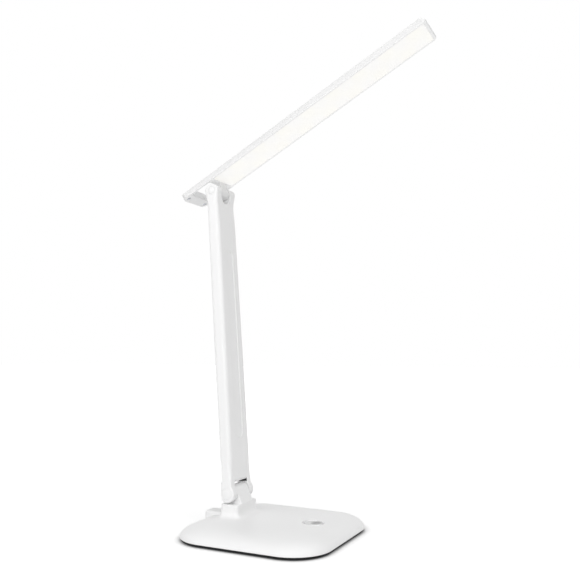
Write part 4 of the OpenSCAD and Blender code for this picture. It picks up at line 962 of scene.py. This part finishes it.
def back_strip(name, node, x0, rim, z0, z1, screws=()):
    """A long plate of the arm's back, from x0 to the seam: rounded by rim behind and by SEAM_R at the seam,
    with a countersink at each screw."""
    back = rim_out(line(x0, z0, z1, 1, 1), rim)
    seam = rim_out(line(SEAM_X, z0, z1, 1, -1), SEAM_R, 2)
    side = np.concatenate([back, seam[:, ::-1]], 1)
    skin = Skin().both(side).span(side[0]).span(side[-1]).span(side[:, -1], flat=0)
    sinks = [[xyz(x0 + deep, *polar(32, r, 0.0, z).T) for r, deep in ((SINK_R, 0), (SINK_LOW_R, SINK))]
             for z in screws]
    skin.span(side[:, 0], [sink[0] for sink in sinks], flat=0)
    for sink in sinks:
        skin.grid(sink, wrap=True).fill(sink[-1], flat=0)
    skin.piece(name, "arm", "white_shell", [node], bevel=0.2)


def hinge_caps(name, node, z, half, cap_r, seat_r, drum):
    """The two round covers of a hinge: a drum whose outer face is part of a large ball."""
    ball = (seat_r ** 2 + CAP_BULGE ** 2) / (2 * CAP_BULGE)
    r = np.linspace(0, cap_r - CAP_EDGE, 9)
    face = np.stack([r, drum + CAP_BULGE - ball + np.sqrt(ball ** 2 - r ** 2)], -1)
    edge = [(cap_r - a, face[-1, 1] - b) for a, b in softened(CAP_EDGE, 3)[1:]]
    x, y, out = np.moveaxis(spun(np.concatenate([face, edge, [(cap_r, 0.0), (0.0, 0.0)]]), 56), -1, 0)
    p = xyz(x, half - drum + out, z + y)
    Skin().both(p, wrap=True).piece(name, "arm", "white_shell", [node], smooth=25)


def slot_shade_sheets():
    """Painted shade: thin dark sheets on the slot's cheeks, between the knuckle's top and its rounded roof.
    """
    roof = arc(FRONT_X - SLOT_EDGE, ROOF_Z, SLOT_EDGE + FIT, SHADE_SHEET_ROOF, -90, 6)[0]
    back, front = BACK_X + SHADE_SHEET_SHORT, FRONT_X - SHADE_SHEET_SHORT
    x, z = np.concatenate([[(back, SHADE_SHEET_LOW), (front, SHADE_SHEET_LOW)], roof, [(back, SLOT_H - FIT)]]).T
    rings = np.stack([xyz(x, SLOT_HALF + SHADE_SHEET_IN - d, z) for d in (0, SHADE_SHEET_T)])
    skin = Skin().both(rings, wrap=True).both_fill(rings[0]).both_fill(rings[1])
    skin.piece("slot_shade_sheets", "arm", "rubber_mat")


arm_front_shell()
# dark sheets that paint the shadow inside the slot
slot_shade_sheets()
back_strip("arm_back", "arm_back_shell", BACK_X, BACK_RIM, BACK_START + FIT, OPEN_TOP - FIT, ARM_SCREWS)
back_strip("arm_wire_cover", "lower_back_cover", BACK_X + COVER_STEP, COVER_RIM, OPEN_LOW + FIT, BACK_START)
hinge_caps("lower_hinge_caps", "lower_caps", 0.0, ARM_W_LOW / 2, *CAPS["lower"])
hinge_caps("upper_hinge_caps", "upper_caps", ARM_L, ARM_W_TOP / 2, *CAPS["upper"])


# ---- head ------------------------------------------------------------------------------------

def head_half(x):
    """Half width of the head's plan: its corners at the tip have radius TIP_R, those at the rear REAR_R."""
    ahead = np.clip(x - (HEAD_FRONT - TIP_R), 0, TIP_R)
    behind = np.clip(-HEAD_REAR + REAR_R - x, 0, REAR_R)
    return (HEAD_W / 2 - TIP_R + np.sqrt(TIP_R ** 2 - ahead ** 2)
            - REAR_R + np.sqrt(REAR_R ** 2 - behind ** 2))


def section_half(x):
    """Half width on which the top's section is drawn: the full one, and the plan's own at the tip."""
    return np.where(x > TIP_START, head_half(x), HEAD_W / 2)


def window_half(x):
    """Half width of the loop's window at x: WINDOW's half width less the rounding of its corners."""
    x0, x1, half, r = WINDOW
    d = np.clip(r - np.minimum(x - x0, x1 - x), 0, r)
    return half - r + np.sqrt(r * r - d * d)


def crown(x):
    """Height of the crown at x: level, then a quarter circle of TIP_TOP_R down the tip."""
    d = np.clip(x - TIP_START, 0, TIP_TOP_R)
    return HEAD_Z1 - TIP_TOP_R + np.sqrt(TIP_TOP_R ** 2 - d * d)


def camber(half, top, angle):
    """y and z at an angle of the section |y/half|^4 + |(z - SIDE_Z)/(top - SIDE_Z)|^2.2 = 1."""
    y = half * np.sign(np.cos(angle)) * np.abs(np.cos(angle)) ** (2 / CAMBER_Y)
    return y, SIDE_Z + (top - SIDE_Z) * np.sin(angle) ** (2 / CAMBER_Z)


def top_side(x, inner):
    """The top at each x, in columns from its outer edge to y = inner, closer near the edge."""
    half = section_half(x)[:, None]
    start = np.arccos(np.clip((head_half(x)[:, None] / half) ** 2, -1, 1))
    stop = np.arccos((inner[:, None] / half) ** 2)
    angle = start + (stop - start) * np.linspace(0, 1, 19) ** 1.4
    return xyz(x[:, None], *camber(half, crown(x)[:, None], angle))


def head_top():
    """The head's top shell.  Stations along X carry the cambered section; columns over each side run past
    the window, and columns over the middle close the bar behind it and the plate ahead."""
    skin = Skin()
    x0, x1, w_half, w_r = WINDOW
    a = quarter(6)
    round_in = w_r * (1 - np.cos(a))
    bar_x = -HEAD_REAR + REAR_R
    bar = np.concatenate([bar_x - REAR_R * np.cos(a), np.linspace(bar_x, x0, 4)[1:]])
    beside = np.concatenate([x0 + round_in, np.linspace(x0 + w_r, x1 - w_r, 8)[1:-1], x1 - round_in[::-1]])
    fall = TIP_START + TIP_TOP_R * np.sin(quarter(18))
    ahead = np.concatenate([np.linspace(x1, TIP_START, 60)[:-1], fall])
    narrow = w_half - w_r
    behind = top_side(bar, np.full(len(bar), narrow))
    rails = top_side(beside, window_half(beside))
    front = top_side(ahead, narrow * head_half(ahead) / (HEAD_W / 2))
    front[0] = rails[-1]
    outer = np.concatenate([behind, rails[1:], front[1:]])
    skin.both(outer)
    # over the middle the section is solved for z at even steps of y
    ends = []
    for group in (behind, front):
        x, y, _ = group[:, -1:].transpose(2, 0, 1)
        y = y * np.linspace(1, -1, 21)
        up = np.clip(1 - np.abs(y / section_half(x)) ** CAMBER_Y, 0, 1) ** (1 / CAMBER_Z)
        middle = xyz(x, y, SIDE_Z + (crown(x) - SIDE_Z) * up)
        skin.grid(middle)
        ends += [middle[0], middle[-1]]
    rear, sill, lip, nose = ends

    # walls: round the outside, over the rear and the front face, and round the window
    low = dropped(outer[:, 0])
    low[:, 0] -= TIP_DRAW * ramp((low[:, 0] - HEAD_FRONT + TIP_R) / TIP_R)
    corner = front[-1, 0]
    skin.both(np.stack([outer[:, 0], low], 1))
    back = [behind[0], rear[1:], behind[0][::-1][1:] * MIRROR, [low[0] * MIRROR, low[0]]]
    skin.fill(np.concatenate(back), flat=0)
    skin.fill(np.concatenate([front[-1], nose[1:], front[-1][::-1][1:] * MIRROR]), flat=0)
    skin.grid([[corner, corner * MIRROR], [low[-1], low[-1] * MIRROR]])
    wall = rails[:, -1]
    hole = dropped(wall)
    skin.both(np.stack([wall, hole], 1)).grid([sill, dropped(sill)]).grid([lip, dropped(lip)])

    # the hollow with its own camber, and the seam with the frame
    y, z = camber(HEAD_W / 2 - HEAD_WALL, HEAD_Z1 - HEAD_WALL, np.linspace(0, math.pi, 41))
    vault = xyz(np.array([[x1 + HOLLOW_START], [HEAD_FRONT - HOLLOW_END]]), y, z)
    foot = dropped(vault[:, [0, -1]])
    skin.grid(vault).grid([vault[:, 0], foot[:, 0]]).grid([vault[:, -1], foot[:, 1]])
    for arch, pair in zip(vault, foot):
        skin.fill(np.concatenate([arch, pair[::-1]]), flat=0)
    window = np.concatenate([hole, dropped(lip)[1:], hole[::-1][1:] * MIRROR, dropped(sill)[::-1][1:-1]])
    skin.span(low, [window, np.concatenate([foot[0], foot[1][::-1]])])
    skin.piece("head_top", "head", "white_shell", ["head_top_shell"], "head_white", bevel=0.2)


def head_outline(z, draw=0.0):
    """Plan ring of the head's frame at height z, drawn in by draw; the tip retreats below as a circle of
    TIP_LOW_R does."""
    half = HEAD_W / 2
    v = quarter(8)
    tip_x, rear_x = HEAD_FRONT - TIP_R, REAR_R - HEAD_REAR
    x = np.concatenate([tip_x + (TIP_R - draw) * np.cos(v), np.linspace(tip_x, rear_x, 21)[1:-1],
                        rear_x - (REAR_R - draw) * np.sin(v)])
    y = np.concatenate([half - TIP_R + (TIP_R - draw) * np.sin(v), np.full(19, half - draw),
                        half - REAR_R + (REAR_R - draw) * np.cos(v)])
    fall = TIP_LOW_R ** 2 - max(HEAD_Z0 + TIP_LOW_R - z, 0) ** 2
    tip = HEAD_FRONT - TIP_LOW_R + math.sqrt(max(fall, 0))
    bend = HEAD_FRONT - TIP_BEND
    x = np.where(x > bend, bend + (x - bend) * (tip - bend) / TIP_BEND, x)
    near = xyz(x, y, z)
    return np.concatenate([near, near[::-1] * MIRROR])


def head_bottom():
    """The head's lower frame, with the diffuser's opening, the window and the seats of two screws, and the
    tongue that turns between the arm's ears."""
    rows = [head_outline(HEAD_Z0 + b, a) for a, b in softened(EDGE, 4)]
    rows += [head_outline(z) for z in np.linspace(HEAD_Z0 + EDGE, SPLIT_Z, 4)[1:]]
    low, top = ([at_z(round_rect(*plan), z) for plan in (WINDOW, DIFF)] for z in (HEAD_Z0, SPLIT_Z))
    seats = [at_z(polar(32, HEAD_SEAT_R, HEAD_SCREW_X, y), HEAD_Z0) for y in (HEAD_SCREW_Y, -HEAD_SCREW_Y)]
    skin = Skin().grid(rows, wrap=True)
    for pair in zip(low, top):
        skin.grid(pair, wrap=True)
    for seat in seats:
        deep = seat + [0, 0, HEAD_SEAT]
        skin.grid([seat, deep], wrap=True).fill(deep)
    skin.fill(rows[0], low + seats).fill(rows[-1], top)
    tongue(skin)
    skin.piece("head_under", "head", "white_shell", ["head_frame"], "head_white", bevel=0.15)


def tongue(skin):
    """Knuckle of the head about the upper axis, and the web that joins it to the frame."""
    start, end, top = WINDOW[1] + WEB_CLEAR, WINDOW[1] + WEB_L, HEAD_Z0 + WEB_TOP
    inside, low = WEB_SUNK * TONGUE_R, math.radians(WEB_ANGLE)
    web = [(0, 0), (inside * math.cos(low), inside * math.sin(low)), (end, HEAD_Z0 - WEB_LOW),
           (end, top), (start, top), (WEB_BACK, inside)]
    skin.slab(polar(64, TONGUE_R), TONGUE_HALF, TONGUE_RIM).slab(np.array(web), WEB_HALF, TONGUE_RIM)


def diffuser():
    """Opal plate in the frame's opening, with softened lower edges and a flange above the frame."""
    x0, x1, half, r = DIFF

    def ring(gap, z):
        return at_z(round_rect(x0 + gap, x1 - gap, half - gap, r - gap), z)

    rows = [ring(FIT + a, HEAD_Z0 + DIFF_IN + b) for a, b in softened(DIFF_EDGE, 4)]
    rows += [ring(FIT, SPLIT_Z), ring(-FLANGE, SPLIT_Z), ring(-FLANGE, SPLIT_Z + FLANGE_T)]
    skin = Skin().grid(rows, wrap=True).fill(rows[0]).fill(rows[-1])
    skin.piece("opal_diffuser", "head", "diffuser_milk", ["diffuser"])


head_top()
head_bottom()
diffuser()

# ---- finishes of the pieces that stay as the frame has them ----------------------------------

slots = {part["node"]: part["material_slot"] for part in frame["record"]["subparts"]}
for name, node in frame["nodes"].items():
    node.data.materials.clear()
    node.data.materials.append(finishes[slots[name]])

# ---- floor, light and camera -----------------------------------------------------------------

scene = bpy.context.scene


def placed(name, data, place=(0, 0, 0), turn=(0, 0, 0)):
    """An object of the scene, at its place and turn in radians."""
    thing = bpy.data.objects.new(name, data)
    scene.collection.objects.link(thing)
    thing.location, thing.rotation_euler = place, turn
    return thing


def white_to_camera(shading, output, lit, plain):
    """Shows the plain shader to the camera, in mirrors and through glass, and the lit one to other light."""
    ray = shading.node("LightPath").outputs
    seen = shading.calc("MAXIMUM", ray["Is Camera Ray"], ray["Is Glossy Ray"])
    seen = shading.calc("MAXIMUM", seen, ray["Is Transmission Ray"])
    mix = shading.node("MixShader", [("Fac", seen), (1, lit), (2, plain)]).outputs[0]
    shading.node(output, [("Surface", mix)])


def studio():
    """White world that lights the lamp softly and is pure white behind it."""
    world = scene.world or bpy.data.worlds.new("studio")
    scene.world = world
    sky = Shading(world)
    sky.tree.nodes.clear()
    ambient, backdrop = (sky.node("Background", [("Color", WHITE), ("Strength", strength)]).outputs[0]
                         for strength in (AMBIENT, 1.0))
    white_to_camera(sky, "OutputWorld", ambient, backdrop)
    for name, place, target, size, power in LAMPS:
        data = bpy.data.lights.new(name, "AREA")
        data.shape = "SQUARE"
        data.size = size
        data.energy = power
        aim = Vector(target) - Vector(place)
        placed(name, data, place, aim.to_track_quat("-Z", "Y").to_euler())


def table():
    """Plain pale floor.  It shades itself under the lamp and darkens where the base all but meets it, and
    a glow that grows with the distance turns it white towards the background."""
    mesh = bpy.data.meshes.new("floor")
    corners = [(-1, -1), (1, -1), (1, 1), (-1, 1)]
    mesh.from_pydata([(FLOOR_REACH * x, FLOOR_REACH * y, 0) for x, y in corners], [], [(0, 1, 2, 3)])
    floor = placed("floor", mesh)
    paper = bpy.data.materials.new("pale table")
    top = Shading(paper)
    top.tree.nodes.clear()
    matt = top.node("BsdfDiffuse", [("Color", (0.8, 0.8, 0.8, 1))]).outputs[0]
    away = top.vector("LENGTH", top.node("TexCoord").outputs["Object"], result="Value")
    limits = zip(("From Min", "From Max", "To Min", "To Max"), FLOOR_FADE + FLOOR_GLOW)
    fade = top.node("MapRange", [("Value", away), *limits], interpolation_type="SMOOTHSTEP").outputs[0]
    near = top.node("AmbientOcclusion", [("Distance", CONTACT_REACH)], samples=16).outputs["AO"]
    open_share = top.calc("POWER", near, CONTACT_POWER)
    shaded = top.node("BsdfDiffuse", [("Color", open_share)]).outputs[0]
    glow = top.node("Emission", [("Strength", top.calc("MULTIPLY", open_share, fade))]).outputs[0]
    both = top.node("AddShader", [(0, shaded), (1, glow)]).outputs[0]
    white_to_camera(top, "OutputMaterial", matt, both)
    mesh.materials.append(paper)


studio()
table()
view = bpy.data.cameras.new("camera")
view.sensor_width = SENSOR
view.lens = LENS
camera_turn = (math.radians(CAMERA_PITCH), 0.0, math.radians(CAMERA_TURN))
scene.camera = placed("camera", view, CAMERA_AT, camera_turn)
scene.view_settings.view_transform = "Standard"
